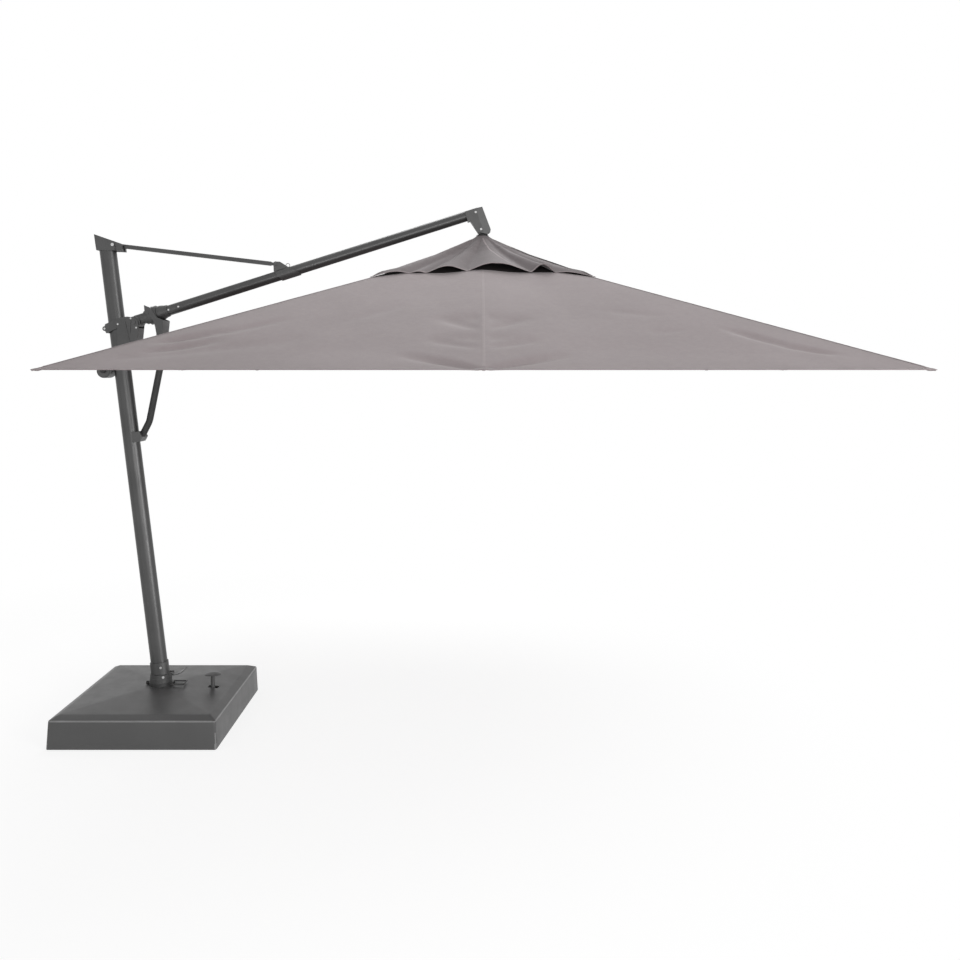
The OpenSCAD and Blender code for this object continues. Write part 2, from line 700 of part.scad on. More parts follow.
module tilt_lever() color(charcoal) boom_frame() {
    for (side = [-1, 1]) {
        translate([0, side * (fork_in + fork_t / 2), 0]) side_plate([
            [89, 64], [114, 43], [123, 20], [131, -1], [140, -27], [168, -50],
            [165, -62], [113, -62], [113, -35], [103, -14], [84, 4], [80, 24]
        ], fork_t);
        translate([lever_pivot[0], side * (fork_in - 4), lever_pivot[1]]) cross(lever_pin_r, 24);
        translate([lever_pivot[0], side * (fork_in + fork_t + 1), lever_pivot[1]]) cross(9, 4);
    }
    side_plate([
        [113, -52], [168, -52], [157, -80], [143, -112], [126, -150], [98, -150],
        [108, -111], [113, -71]
    ], 2 * (fork_in + fork_t));
}

module outer_collar() color(charcoal) boom_frame() difference() {
    along_boom(outer_start) rotate_extrude() polygon([
        [0, 0], [43, 0], [43, 20], [40, 34], [36, 46], [34, outer_end - outer_start],
        [0, outer_end - outer_start]
    ]);
    along_boom(0) cylinder(r = spindle_r + fit, h = tube_start);
    along_boom(tube_start - 1) cylinder(r = boom_r + seat_gap, h = 200);
}

tube_end = bolt_t + 18;

module boom_tube() color(charcoal) boom_frame() difference() {
    along_boom(tube_start) cylinder(r = boom_r, h = tube_end - tube_start);
    along_boom(tube_start - 1) cylinder(r = boom_r - boom_wall, h = tube_end);
    translate([bolt_t, 0, 0]) cross(5 + seat_gap, 100);
    for (t = rivet_t) translate([t, 0, 0]) cross(2.5 + seat_gap, 100);
}

rivet_t = [207.5, 267];

module boom_fasteners() color(steel) boom_frame() {
    for (n = [0, -bracket_drop]) translate([bolt_t, 0, n]) cross_bolt(5, 6.5, 2 * bracket_half, 3);
    for (t = rivet_t, side = [-1, 1]) translate([t, side * boom_r, 0]) {
        translate([0, -side * boom_wall / 2, 0]) cross(2.5, boom_wall);
        translate([0, side * 1, 0]) cross(5, 2);
    }
}

sleeve_grow = 5.5;
ear_gap = 12.5 + slide_gap;
clevis_t = 6;

module strut_sleeve() color(charcoal) boom_frame() difference() {
    union() {
        intersection() {
            along_boom(strut_pin_t - 60) cylinder(r = boom_r + sleeve_grow, h = 240);
            side_plate([
                [strut_pin_t - 26, 40], [strut_pin_t + 8, -40], [strut_pin_t + 118, -40],
                [strut_pin_t + 118, -22], [strut_pin_t + 50, 40]
            ], 200);
        }
        for (side = [-1, 1]) translate([0, side * (ear_gap + clevis_t / 2), 0]) {
            side_plate([
                [strut_pin_t - 24, 30], [strut_pin_t - 15, strut_pin_n - 4],
                [strut_pin_t + 10, strut_pin_n + 12], [strut_pin_t + 27, strut_pin_n + 6],
                [strut_pin_t + 66, 26], [strut_pin_t + 30, 26]
            ], clevis_t);
            translate([strut_pin_t, 0, strut_pin_n]) cross(15.5, clevis_t);
        }
        translate([strut_pin_t + 62, 0, boom_r + sleeve_grow + 6]) rotate([90, 0, 0])
            rotate_extrude() translate([11, 0]) circle(r = 1.6, $fn = 16);
    }
    along_boom(0) cylinder(r = boom_r + fit, h = strut_pin_t + 300);
    translate([strut_pin_t, 0, strut_pin_n]) cross(strut_pin_r + seat_gap, 200);
}

module sleeve_pin() color(steel) boom_frame() translate([strut_pin_t, 0, strut_pin_n])
    cross_bolt(strut_pin_r, 9, 2 * (ear_gap + clevis_t), 3);

hook_len = 58;

module strut() color(charcoal) strut_frame() difference() {
    union() {
        translate([hook_len, -strut_w / 2, -strut_d / 2])
            cube([strut_length - hook_len - 30, strut_w, strut_d]);
        translate([-13, -strut_w / 2, 0]) cube([hook_len + 14, strut_w, strut_d / 2]);
        translate([strut_length, 0, 0]) cross(14, strut_w);
        translate([strut_length - 32, -strut_w / 2, -8]) cube([32, strut_w, 16]);
    }
    cross(strut_pin_r + fit, 60);
    translate([strut_length, 0, 0]) cross(strut_pin_r + fit, 60);
    translate([hook_len + 20, -strut_w / 2 + 2, -strut_d / 2 + 2])
        cube([strut_length - hook_len - 70, strut_w - 4, strut_d - 4]);
}

bracket_half = 36;
lug_half = 10;

module end_bracket() color(charcoal) boom_frame() difference() {
    intersection() {
        side_plate([
            [bolt_t - 60, boom_r - 8], [bolt_t + 46, boom_r - 8], [bolt_t + 54, -bracket_drop - 15],
            [bolt_t + 46, -bracket_drop - 28], [bolt_t + 24, -bracket_drop - 35],
            [bolt_t - 23, -bracket_drop - 11], [bolt_t - 46, -boom_r - 4], [bolt_t - 60, -boom_r - 4]
        ], 2 * bracket_half);
        translate([0, 0, -200]) linear_extrude(300) polygon([
            [bolt_t - 60, -bracket_half], [bolt_t + 8, -bracket_half], [bolt_t + 56, -14],
            [bolt_t + 56, 14], [bolt_t + 8, bracket_half], [bolt_t - 60, bracket_half]
        ]);
    }
    along_boom(bolt_t - 100) cylinder(r = boom_r + seat_gap, h = 100 + 18 + seat_gap);
    for (n = [0, -bracket_drop]) translate([bolt_t, 0, n]) cross(5 + seat_gap, 100);
    translate([bolt_t - 34, -lug_half - seat_gap, -160]) cube([68, 2 * (lug_half + seat_gap), 84]);
}

// ======== canopy hub and ribs ========
hub_r = 57;
hub_z = [rib_pivot_z - 17, rib_pivot_z + 6];
cap_z = rib_pivot_z + 91;
slot_half = tongue_t / 2 + slide_gap;
pin_half = 10;

module rib_slots(z_at, low) for (i = each_rib) rotate([0, 0, azimuth(i)]) {
    translate([24, -slot_half, z_at - 60]) cube([60, 2 * slot_half, 120]);
    translate([pivot_ring_r, 0, z_at]) cross(pivot_pin_r + fit, 2 * (pin_half + slide_gap));
    if (low) translate([pivot_ring_r - pivot_pin_r - 2, -pin_half - slide_gap, z_at - 60])
        cube([2 * pivot_pin_r + 4, 2 * (pin_half + slide_gap), 60]);
}

module top_hub() color(charcoal) difference() {
    union() {
        translate([canopy_x, 0, 0]) {
            translate([0, 0, hub_z[0]]) cylinder(r = hub_r, h = hub_z[1] - hub_z[0]);
            translate([0, 0, hub_z[0] - 12]) cylinder(r = 14, h = cap_z - hub_z[0] + 14);
            translate([0, 0, cap_z]) cylinder(r1 = 37, r2 = 28, h = 7.5);
        }
        translate([hub_bolt_at[0] - 12, -lug_half, cap_z])
            cube([32, 2 * lug_half, hub_bolt_at[2] - cap_z + 8]);
    }
    translate([canopy_x, 0, 0]) rib_slots(rib_pivot_z, false);
    translate(hub_bolt_at) cross(5 + seat_gap, 60);
}

runner_z = rib_pivot_z - runner_open;

module runner() color(charcoal) translate([canopy_x, 0, 0]) difference() {
    union() {
        translate([0, 0, runner_z - 12]) cylinder(r = hub_r - 4, h = 24);
        translate([0, 0, runner_z - 40]) cylinder(r = 18, h = 60);
        translate([0, 0, runner_z - 46]) cylinder(r = 11, h = 8);
    }
    rib_slots(runner_z, true);
    translate([0, 0, runner_z - 60]) cylinder(r = 3, h = 100);
}

tongue_len = 34;
tip_back = 20;
tube_back = 110;

module rib(i) color(charcoal) rib_plane(i) rotate([0, rib_slope(i), 0]) {
    reach = (plan_reach(i) - pivot_ring_r) / cos(rib_slope(i));
    p = stretcher_at(i);
    hip_drop = is_corner(i) ? 1.6 : 0;
    difference() {
        union() {
            cross(pivot_pin_r, 2 * pin_half);
            cross(9, tongue_t);
            translate([0, -tongue_t / 2, -7]) cube([tongue_len + 2, tongue_t, 14]);
            translate([tongue_len, -rib_w / 2, -rib_d / 2])
                cube([reach - tube_back - tongue_len, rib_w, rib_d - hip_drop]);
            translate([reach - tube_back - 20, 0, rib_d / 2 - 4.3]) rotate([0, 90, 0])
                cylinder(r = 4, h = tube_back + 20 - tip_back);
            translate([p, 0, -stretcher_drop]) cross(8, tongue_t);
            translate([p - 8, -tongue_t / 2, -stretcher_drop]) cube([16, tongue_t, stretcher_drop - 5]);
        }
        translate([tongue_len + 20, -rib_w / 2 + rib_wall, -rib_d / 2 + rib_wall])
            cube([reach - tube_back - tongue_len - 60, rib_w - 2 * rib_wall, rib_d - 2 * rib_wall]);
        translate([p, 0, -stretcher_drop]) cross(pivot_pin_r + fit, 40);
    }
}

bar_d = 14;
fork_len = 34;
fork_wall = 3;

module stretcher(i) color(charcoal) rib_plane(i) {
    at = stretcher_pivot(i);
    run = stretcher_run(i);
    length = stretcher_length(i);
    fork_out = slot_half + fork_wall;
    translate([at[0], 0, at[1]]) rotate([0, -atan2(run[1], run[0]), 0]) {
        difference() {
            union() {
                cross(8, 2 * fork_out);
                translate([0, -fork_out, -bar_d / 2]) cube([fork_len, 2 * fork_out, bar_d]);
            }
            translate([-20, -slot_half, -20]) cube([20 + fork_len - 12, 2 * slot_half, 40]);
        }
        cross(pivot_pin_r, 2 * fork_out);
        translate([fork_len - 6, -tongue_t / 2, -bar_d / 2])
            cube([length - fork_len, tongue_t, bar_d]);
        translate([length, 0, 0]) cross(bar_d / 2, tongue_t);
        translate([length, 0, 0]) cross(pivot_pin_r, 2 * pin_half);
    }
}

// ======== canopy fabric ========
vent_top_z = cap_z - seat_gap - fabric_t;
vent_neck = 15;

// Height of the fabric's underside over a rib, at plan distance d from the centre
function over_rib(i, d) = hem_z + (plan_reach(i) - d) * tan(rib_slope(i));
// Plan point on the square of the given half width, at azimuth a
function square_point(half, a) = half / max(abs(cos(a)), abs(sin(a))) * [cos(a), sin(a)];
// Angle from the rib to the gore's seam, which meets the hem half way between two tips
function gore_spread(i) = is_corner(i) ? 45 - atan(0.5) : atan(0.5);
// Main fabric point: f from 0 at the vent hole to 1 at the hem, s from -1 to 1 across the gore
function main_point(i, f, s) = let (
        a = azimuth(i) + s * gore_spread(i),
        half = vent_hole + f * (canopy_half - vent_hole),
        xy = square_point(half, a)
    ) [xy[0], xy[1], main_height(i, half, s)];
function main_height(i, half, s) = let (
        own = over_rib(i, half * (is_corner(i) ? sqrt(2) : 1)),
        next = over_rib(i + 1, half * (is_corner(i) ? 1 : sqrt(2)))
    ) own + abs(s) / 2 * (next - own);

// Vent cap point: f from 0 at the neck to 1 at the edge, which curves in between the corners
function vent_point(i, f, s) = let (
        a = azimuth(i) + s * gore_spread(i),
        along = min(abs(tan(a)), 1 / abs(tan(a))),
        edge_half = vent_mid + (vent_half - vent_mid) * pow(along, 2),
        xy = square_point(vent_neck + f * (edge_half - vent_neck), a),
        edge_z = main_height(i, edge_half, s) + fabric_t + 3 + vent_lift * pow(sin(180 * s), 2),
        fall = 0.8 * f + 0.2 * (1 - pow(1 - f, 2))
    ) [xy[0], xy[1], vent_top_z + fall * (edge_z - vent_top_z)];

// Thin sheet between two surfaces fabric_t apart, from a grid of points[row][column]
module sheet(grid) {
    rows = len(grid);
    cols = len(grid[0]);
    size = rows * cols;
    lower = [for (row = grid) for (p = row) p];
    upper = [for (p = lower) p + [0, 0, fabric_t]];
    function at(r, c) = r * cols + c;
    function quad(a, b, c, d) = [[a, b, c], [a, c, d]];
    faces = concat(
        [for (r = [0 : rows - 2], c = [0 : cols - 2])
            each quad(at(r, c), at(r, c + 1), at(r + 1, c + 1), at(r + 1, c))],
        [for (r = [0 : rows - 2], c = [0 : cols - 2])
            each quad(size + at(r, c), size + at(r + 1, c), size + at(r + 1, c + 1), size + at(r, c + 1))],
        [for (c = [0 : cols - 2])
            each quad(at(0, c), size + at(0, c), size + at(0, c + 1), at(0, c + 1))],
        [for (c = [0 : cols - 2])
            each quad(at(rows - 1, c + 1), size + at(rows - 1, c + 1), size + at(rows - 1, c),
                at(rows - 1, c))],
        [for (r = [0 : rows - 2])
            each quad(at(r + 1, 0), size + at(r + 1, 0), size + at(r, 0), at(r, 0))],
        [for (r = [0 : rows - 2])
            each quad(at(r, cols - 1), size + at(r, cols - 1), size + at(r + 1, cols - 1),
                at(r + 1, cols - 1))]
    );
    polyhedron(concat(lower, upper), faces);
}

main_rows = [0, 0.25, 0.5, 0.75, 1];
main_cols = [-0.999, -0.5, 0, 0.5, 0.999];
vent_rows = [0, 0.15, 0.35, 0.6, 0.8, 1];
vent_cols = [-0.998, -0.75, -0.5, -0.25, 0, 0.25, 0.5, 0.75, 0.998];

module gore(i) color(fabric_grey) translate([canopy_x, 0, 0]) {
    sheet([for (f = main_rows) [for (s = main_cols) main_point(i, f, s)]]);
    sheet([for (f = vent_rows) [for (s = vent_cols) vent_point(i, f, s)]]);
}

// ======== drawing ========
base_cover();
base_tray();
ballast_slabs();
mast_socket();
socket_bolts();
rubber_feet();
lock_knob();
wheel_frame();
front_wheels();
rear_wheels();
wheel_pedal();
foot_collar();
mast_tube();
mast_head();
mast_bolts();
swivel_pedal();
lock_loop();
carriage_body();
glide_pads();
carriage_screws();
boom_pin();
crank_housing();
handle_tube();
handle_shoe();
crank_arm();
boom_root();
strut_sleeve();
sleeve_pin();
strut();
tilt_lever();
outer_collar();
boom_tube();
boom_fasteners();
end_bracket();
top_hub();
runner();
for (i = each_rib) rib(i);
for (i = each_rib) stretcher(i);
for (i = each_rib) gore(i);
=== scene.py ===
"""Looks of the cantilever patio umbrella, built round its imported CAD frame. Metres, +Z up."""

import json  # noqa: E402
import math  # noqa: E402

import bpy  # noqa: E402
import numpy as np  # noqa: E402
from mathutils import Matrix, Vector  # noqa: E402


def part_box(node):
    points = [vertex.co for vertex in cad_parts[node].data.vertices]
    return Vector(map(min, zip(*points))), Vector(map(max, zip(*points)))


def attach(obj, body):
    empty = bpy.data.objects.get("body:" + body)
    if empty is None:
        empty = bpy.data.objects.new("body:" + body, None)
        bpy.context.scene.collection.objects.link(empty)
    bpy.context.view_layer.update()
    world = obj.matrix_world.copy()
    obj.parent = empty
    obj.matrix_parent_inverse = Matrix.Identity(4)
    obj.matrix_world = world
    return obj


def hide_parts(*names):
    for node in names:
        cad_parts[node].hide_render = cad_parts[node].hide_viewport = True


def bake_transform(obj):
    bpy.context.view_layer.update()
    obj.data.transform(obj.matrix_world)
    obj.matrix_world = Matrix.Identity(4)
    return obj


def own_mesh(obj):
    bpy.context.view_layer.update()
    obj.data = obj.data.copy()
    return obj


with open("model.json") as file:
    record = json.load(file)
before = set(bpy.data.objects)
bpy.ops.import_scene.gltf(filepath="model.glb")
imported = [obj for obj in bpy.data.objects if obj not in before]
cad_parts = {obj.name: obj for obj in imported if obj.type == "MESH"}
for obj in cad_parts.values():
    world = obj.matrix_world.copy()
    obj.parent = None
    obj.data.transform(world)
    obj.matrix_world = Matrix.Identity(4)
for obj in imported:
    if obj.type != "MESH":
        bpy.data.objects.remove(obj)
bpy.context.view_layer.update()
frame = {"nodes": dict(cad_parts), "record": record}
scene = bpy.context.scene


# ---------------------------------------------------------------- materials
def grey(level, warm=0.0):
    """Linear colour from a display level of 0 to 255, a little warmer or cooler."""
    v = level / 255
    v = v / 12.92 if v <= 0.04045 else ((v + 0.055) / 1.055) ** 2.4
    return (v * (1 + warm), v, v * (1 - warm * 0.4), 1)


class Nodes:
    """Short calls for building a node tree."""

    def __init__(self, tree):
        self.tree = tree
        tree.nodes.clear()

    def new(self, kind, **values):
        node = self.tree.nodes.new("ShaderNode" + kind)
        for key, value in values.items():
            setattr(node, key, value)
        return node

    def link(self, a, b):
        self.tree.links.new(a, b)

    def feed(self, value, socket):
        """Link a socket, or set a plain number or colour."""
        if isinstance(value, (int, float, tuple)):
            socket.default_value = value
        else:
            self.link(value, socket)

    def noise(self, where, scale, detail=3.0, rough=0.55):
        node = self.new("TexNoise")
        self.link(where, node.inputs["Vector"])
        node.inputs["Scale"].default_value = scale
        node.inputs["Detail"].default_value = detail
        node.inputs["Roughness"].default_value = rough
        return node.outputs["Fac"]

    def ranged(self, value, low, high, to_low=0.0, to_high=1.0):
        node = self.new("MapRange", interpolation_type="SMOOTHSTEP")
        self.link(value, node.inputs["Value"])
        node.inputs["From Min"].default_value = low
        node.inputs["From Max"].default_value = high
        node.inputs["To Min"].default_value = to_low
        node.inputs["To Max"].default_value = to_high
        return node.outputs["Result"]

    def mix(self, factor, a, b):
        node = self.new("Mix", data_type="RGBA")
        self.link(factor, node.inputs[0])
        self.feed(a, node.inputs[6])
        self.feed(b, node.inputs[7])
        return node.outputs[2]

    def math(self, kind, a, b):
        node = self.new("Math", operation=kind)
        self.feed(a, node.inputs[0])
        self.feed(b, node.inputs[1])
        return node.outputs[0]

    def weigh(self, *shares):
        """The sum of values, each times its share."""
        total = None
        for value, share in shares:
            part = self.math("MULTIPLY", value, share)
            total = part if total is None else self.math("ADD", total, part)
        return total

    def bump(self, height, strength, distance, normal=None):
        node = self.new("Bump")
        node.inputs["Strength"].default_value = strength
        node.inputs["Distance"].default_value = distance
        self.link(height, node.inputs["Height"])
        if normal is not None:
            self.link(normal, node.inputs["Normal"])
        return node.outputs["Normal"]

    def mix_shaders(self, factor, a, b):
        node = self.new("MixShader")
        self.link(factor, node.inputs[0])
        self.link(a, node.inputs[1])
        self.link(b, node.inputs[2])
        return node.outputs[0]


def start(name):
    """A new material with its node helper, its principled shader and object coordinates."""
    material = bpy.data.materials.new(name)
    material.use_nodes = True
    n = Nodes(material.node_tree)
    out = n.new("OutputMaterial")
    shader = n.new("BsdfPrincipled")
    n.link(shader.outputs[0], out.inputs["Surface"])
    where = n.new("TexCoord").outputs["Object"]
    return material, n, shader, where


WEAR_AND_HIGHLIGHT_TURN = (0.99, 0.90)  # cosines of an edge's turn where its lighter colour starts and where it is full: wear, and on the cover plastic partly a painted highlight
WEAR_AND_HIGHLIGHT_SHARE = 0.8
WEAR_AND_HIGHLIGHT_SCALE, SMUDGE_SCALE = 45.0, 14.0  # of the noise in the lighter edges and in the roughness


def hard(name, low, high, rough=(0.36, 0.5), metallic=0.0, specular=0.5, mottle=7.0, grain=900.0,
         bump=0.12, depth=0.0002, edge=None, edge_size=0.0012):
    """A rigid finish: slow colour drift, fine grain in colour, roughness and height, and lighter edges, from
    wear and on the cover plastic partly a painted highlight.

    low to high is the colour drift and rough the roughness range. mottle and grain are noise scales,
    bump and depth the relief of the grain, and edge and edge_size the colour and width of the lighter edges.
    """
    material, n, shader, where = start(name)
    slow = n.ranged(n.noise(where, mottle), 0.32, 0.68)
    fine = n.noise(where, grain, 2.0)
    colour = n.mix(n.weigh((slow, 0.65), (fine, 0.35)), low, high)
    normal = None
    if edge:
        bevel = n.new("Bevel", samples=4)
        bevel.inputs["Radius"].default_value = edge_size
        flat = n.new("NewGeometry")
        turned = n.new("VectorMath", operation="DOT_PRODUCT")
        n.link(bevel.outputs[0], turned.inputs[0])
        n.link(flat.outputs["Normal"], turned.inputs[1])
        near_edge = n.ranged(turned.outputs["Value"], *WEAR_AND_HIGHLIGHT_TURN)
        patchy = n.ranged(n.noise(where, WEAR_AND_HIGHLIGHT_SCALE, 4.0, 0.7), 0.46, 0.62)
        wear_and_highlight = n.math("MULTIPLY", near_edge, n.math("MULTIPLY", patchy, WEAR_AND_HIGHLIGHT_SHARE))
        colour = n.mix(wear_and_highlight, colour, edge)
        normal = bevel.outputs[0]
    n.link(colour, shader.inputs["Base Color"])
    smudge = n.noise(where, SMUDGE_SCALE, 4.0, 0.6)
    dullness = n.weigh((smudge, 0.6), (fine, 0.4))
    n.link(n.ranged(dullness, 0.3, 0.7, *rough), shader.inputs["Roughness"])
    relief = n.noise(where, grain, 3.0, 0.6)
    n.link(n.bump(relief, bump, depth, normal), shader.inputs["Normal"])
    shader.inputs["Metallic"].default_value = metallic
    shader.inputs["Specular IOR Level"].default_value = specular
    return material


WAVE_LENGTH = 0.314  # of a wave texture of scale 1
ALONG_YARN, ACROSS_YARN = 60.0, 900.0  # noise scales of the slubs in a yarn
DRIFT_SCALE, PATCH_SCALE, CRUMPLE_SCALE = 2.2, 38.0, 26.0  # of the noise in tone and in height


def cloth(name, low, high, thread=0.0011, sheen=0.25):
    """Plain weave along the panel's own directions, with slubby yarns and a slow drift in tone."""
    material, n, shader, where = start(name)
    uv = n.new("TexCoord").outputs["UV"]
    waves = []
    for direction in ("X", "Y"):
        wave = n.new("TexWave", bands_direction=direction, wave_profile="SIN")
        n.link(uv, wave.inputs["Vector"])
        wave.inputs["Scale"].default_value = WAVE_LENGTH / thread
        wave.inputs["Distortion"].default_value = 0.6
        wave.inputs["Detail"].default_value = 1.0
        waves.append(wave.outputs["Fac"])
    yarns = []
    for scale in ((ALONG_YARN, ACROSS_YARN, 1.0), (ACROSS_YARN, ALONG_YARN, 1.0)):
        mapped = n.new("Mapping")
        mapped.inputs["Scale"].default_value = scale
        n.link(uv, mapped.inputs["Vector"])
        yarns.append(n.noise(mapped.outputs["Vector"], 1.0, 2.0))
    weave = n.math("MULTIPLY", waves[0], waves[1])
    yarn = n.weigh((yarns[0], 0.5), (yarns[1], 0.5))
    slow = n.noise(where, DRIFT_SCALE, 4.0, 0.6)
    patch = n.noise(where, PATCH_SCALE, 3.0)
    tone = n.weigh((yarn, 0.45), (slow, 0.35), (patch, 0.2))
    n.link(n.mix(n.ranged(tone, 0.36, 0.64), low, high), shader.inputs["Base Color"])
    n.link(n.ranged(yarn, 0.3, 0.7, 0.82, 0.95), shader.inputs["Roughness"])
    crumple = n.bump(n.noise(where, CRUMPLE_SCALE, 5.0, 0.6), 0.16, 0.004)
    threads = n.math("ADD", weave, n.math("MULTIPLY", yarn, 0.5))
    n.link(n.bump(threads, 0.35, 0.00025, crumple), shader.inputs["Normal"])
    shader.inputs["Specular IOR Level"].default_value = 0.25
    shader.inputs["Sheen Weight"].default_value = sheen
    shader.inputs["Sheen Roughness"].default_value = 0.5
    return material


coat = hard("powder_coat", grey(78), grey(86), (0.32, 0.40), metallic=0.7, specular=0.4, mottle=5.0,
            grain=1100.0, bump=0.10, edge=grey(104))
coat_flat = hard("cast_coat", grey(84), grey(92), (0.40, 0.50), metallic=0.5, specular=0.35, mottle=9.0,
                 grain=700.0, bump=0.22, edge=grey(108))
grip = hard("handle_coat", grey(56), grey(62), (0.5, 0.6), metallic=0.35, specular=0.3, mottle=8.0,
            grain=800.0, bump=0.2, edge=grey(84))
steel_coat = hard("steel_coat", grey(72), grey(80), (0.42, 0.52), metallic=0.6, specular=0.35, mottle=8.0,
                  grain=900.0, bump=0.16, edge=grey(100))
# The cover plastic's lighter edge colour is partly wear and partly a painted highlight along its edges.
plastic = hard("cover_plastic", grey(82), grey(88), (0.36, 0.46), specular=0.42, mottle=3.0, grain=620.0,
               bump=0.3, depth=0.0003, edge=grey(112), edge_size=0.002)
# A lighter, shinier copy of the cover plastic for the shoulder's rounding and the upright corners: a painted
# highlight.
plastic_painted_highlight = hard("cover_painted_highlight", grey(126), grey(142), (0.30, 0.38), specular=0.5, mottle=9.0, grain=620.0,
                    bump=0.2)
zinc = hard("zinc", grey(186), grey(204), (0.22, 0.36), metallic=1.0, mottle=60.0, grain=500.0, bump=0.1,
            edge=grey(226), edge_size=0.0006)
rubber = hard("rubber", grey(40), grey(48), (0.6, 0.75), specular=0.35, mottle=20.0, grain=700.0,
              bump=0.35, edge=grey(70))
nylon = hard("nylon", grey(206, 0.02), grey(220, 0.02), (0.42, 0.55), mottle=20.0, grain=600.0, bump=0.15)
concrete = hard("concrete", grey(164, 0.02), grey(196, 0.02), (0.8, 0.95), specular=0.3, mottle=11.0,
                grain=160.0, bump=0.6, depth=0.0015, edge=grey(208, 0.02), edge_size=0.004)
fabric = cloth("canopy_fabric", (0.290, 0.247, 0.251, 1), (0.340, 0.290, 0.296, 1))
# The vent cap is the canopy's fabric painted darker: painted shade for its steeper, less lit slope.
vent_fabric_painted_shade = cloth("vent_fabric_painted_shade", (0.152, 0.131, 0.134, 1), (0.198, 0.172, 0.176, 1))
# Near-black cloth for the sheet under the vent cap's edge: painted shade.
painted_shade_cloth = cloth("vent_painted_shade", (0.010, 0.008, 0.008, 1), (0.020, 0.017, 0.017, 1), thread=0.0016, sheen=0.0)
# Seam cloth a little lighter than the canopy's: a painted highlight for the raised seams catching the light.
seam_fabric_painted_highlight = cloth("seam_fabric_painted_highlight", (0.316, 0.269, 0.274, 1), (0.364, 0.311, 0.317, 1))
binding = cloth("binding", (0.273, 0.233, 0.237, 1), (0.323, 0.276, 0.281, 1), thread=0.0009)

# the finish of each material slot, and of the nodes whose finish differs from their slot's
slot_finish = {
    "charcoal_aluminium": coat, "charcoal_steel": steel_coat, "cover": plastic, "steel": zinc,
    "rubber": rubber, "nylon": nylon, "concrete": concrete, "fabric": fabric,
}
node_finish = {
    "handle_tube": grip, "crank_arm": grip, "boom_pin": coat_flat, "sleeve_pin": coat_flat,
    "wheel_pedal": plastic, "swivel_pedal": plastic,
}
for cast in ("carriage_body", "mast_head", "foot_collar", "end_bracket", "tilt_lever", "outer_collar",
             "strut_sleeve", "crank_housing", "handle_shoe", "top_hub", "runner", "boom_root"):
    node_finish[cast] = coat_flat
for sub in frame["record"]["subparts"]:
    mesh = frame["nodes"][sub["node"]].data
    mesh.materials.clear()
    mesh.materials.append(node_finish.get(sub["node"], slot_finish[sub["material_slot"]]))


# ---------------------------------------------------------------- mesh helpers
def mesh_object(name, verts, faces, material, smooth=True, angle=None):
    """A new object. angle, in degrees, is where smooth shading turns into an edge."""
    mesh = bpy.data.meshes.new(name)
    mesh.from_pydata([tuple(v) for v in verts], [], faces)
    mesh.validate()
    mesh.materials.append(material)
    if smooth:
        mesh.shade_smooth()
        if angle is not None:
            mesh.set_sharp_from_angle(angle=math.radians(angle))
    obj = bpy.data.objects.new(name, mesh)
    scene.collection.objects.link(obj)
    return obj


def grid_faces(rows, cols, wrap=False):
    """Quads over a grid of rows x cols points, closed round its columns if wrap is set."""
    faces = []
    for r in range(rows - 1):
        for c in range(cols if wrap else cols - 1):
            d = (c + 1) % cols
            faces.append((r * cols + c, r * cols + d, (r + 1) * cols + d, (r + 1) * cols + c))
    return faces


def panel(name, patches, material):
    """One sheet from one or two grids of points that share an edge column, with the grids' own normals.

    patches are (points, normals, uv), each rows x cols x 3 or 2.
    """
    verts, faces, normals, uvs = [], [], [], []
    index = []
    for k, (points, _, _) in enumerate(patches):
        rows, cols = points.shape[:2]
        ids = np.empty((rows, cols), int)
        shared = 1 if k else 0
        if k:
            ids[:, 0] = index[-1][:, -1]
        ids[:, shared:] = len(verts) + np.arange(rows * (cols - shared)).reshape(rows, cols - shared)
        verts.extend(points[:, shared:].reshape(-1, 3))
        index.append(ids)
    for ids, (points, normal, uv) in zip(index, patches):
        rows, cols = points.shape[:2]
        for r in range(rows - 1):
            for c in range(cols - 1):
                corners = ((r, c), (r + 1, c), (r + 1, c + 1), (r, c + 1))
                faces.append(tuple(int(ids[q]) for q in corners))
                normals.extend(normal[q] for q in corners)
                uvs.extend(uv[q] for q in corners)
    mesh = bpy.data.meshes.new(name)
    mesh.from_pydata([tuple(v) for v in verts], [], faces)
    mesh.materials.append(material)
    layer = mesh.uv_layers.new(name="weave")
    layer.data.foreach_set("uv", np.array(uvs, np.float32).ravel())
    mesh.shade_smooth()
    mesh.normals_split_custom_set([tuple(v) for v in normals])
    obj = bpy.data.objects.new(name, mesh)
    scene.collection.objects.link(obj)
    return obj


def unit(v):
    return v / np.maximum(np.linalg.norm(v, axis=-1, keepdims=True), 1e-9)


def smooth(x, a, b):
    """0 before a, 1 after b and an even curve between."""
    s = np.clip((x - a) / (b - a), 0, 1)
    return s * s * (3 - 2 * s)


# ---------------------------------------------------------------- canopy shape
# The canopy is a square pyramid over eight ribs. A place on it is given by its side, by its distance h
# from the hub towards that side, and by t, which runs from -1 to 1 along the side at any h.
HUB = Vector((1.868, 0.0, 0.0))
HALF = 1.7525  # half the side of the square
HEM = 2.020  # height of the hem
HOLE = 0.330  # half the side of the opening under the vent cap
CLOTH = 0.0009  # height of the cloth over the underside of the CAD's fabric
PITCH = 0.40909  # rise per metre of h towards the hub, over a middle rib
PITCH_LESS = 0.00314  # how much less that is over a corner rib
MEETING = 26.565  # angle from a middle rib to where its panel ends, in degrees
SIDES = ("right", "back", "left", "front")
rng = np.random.default_rng(11)


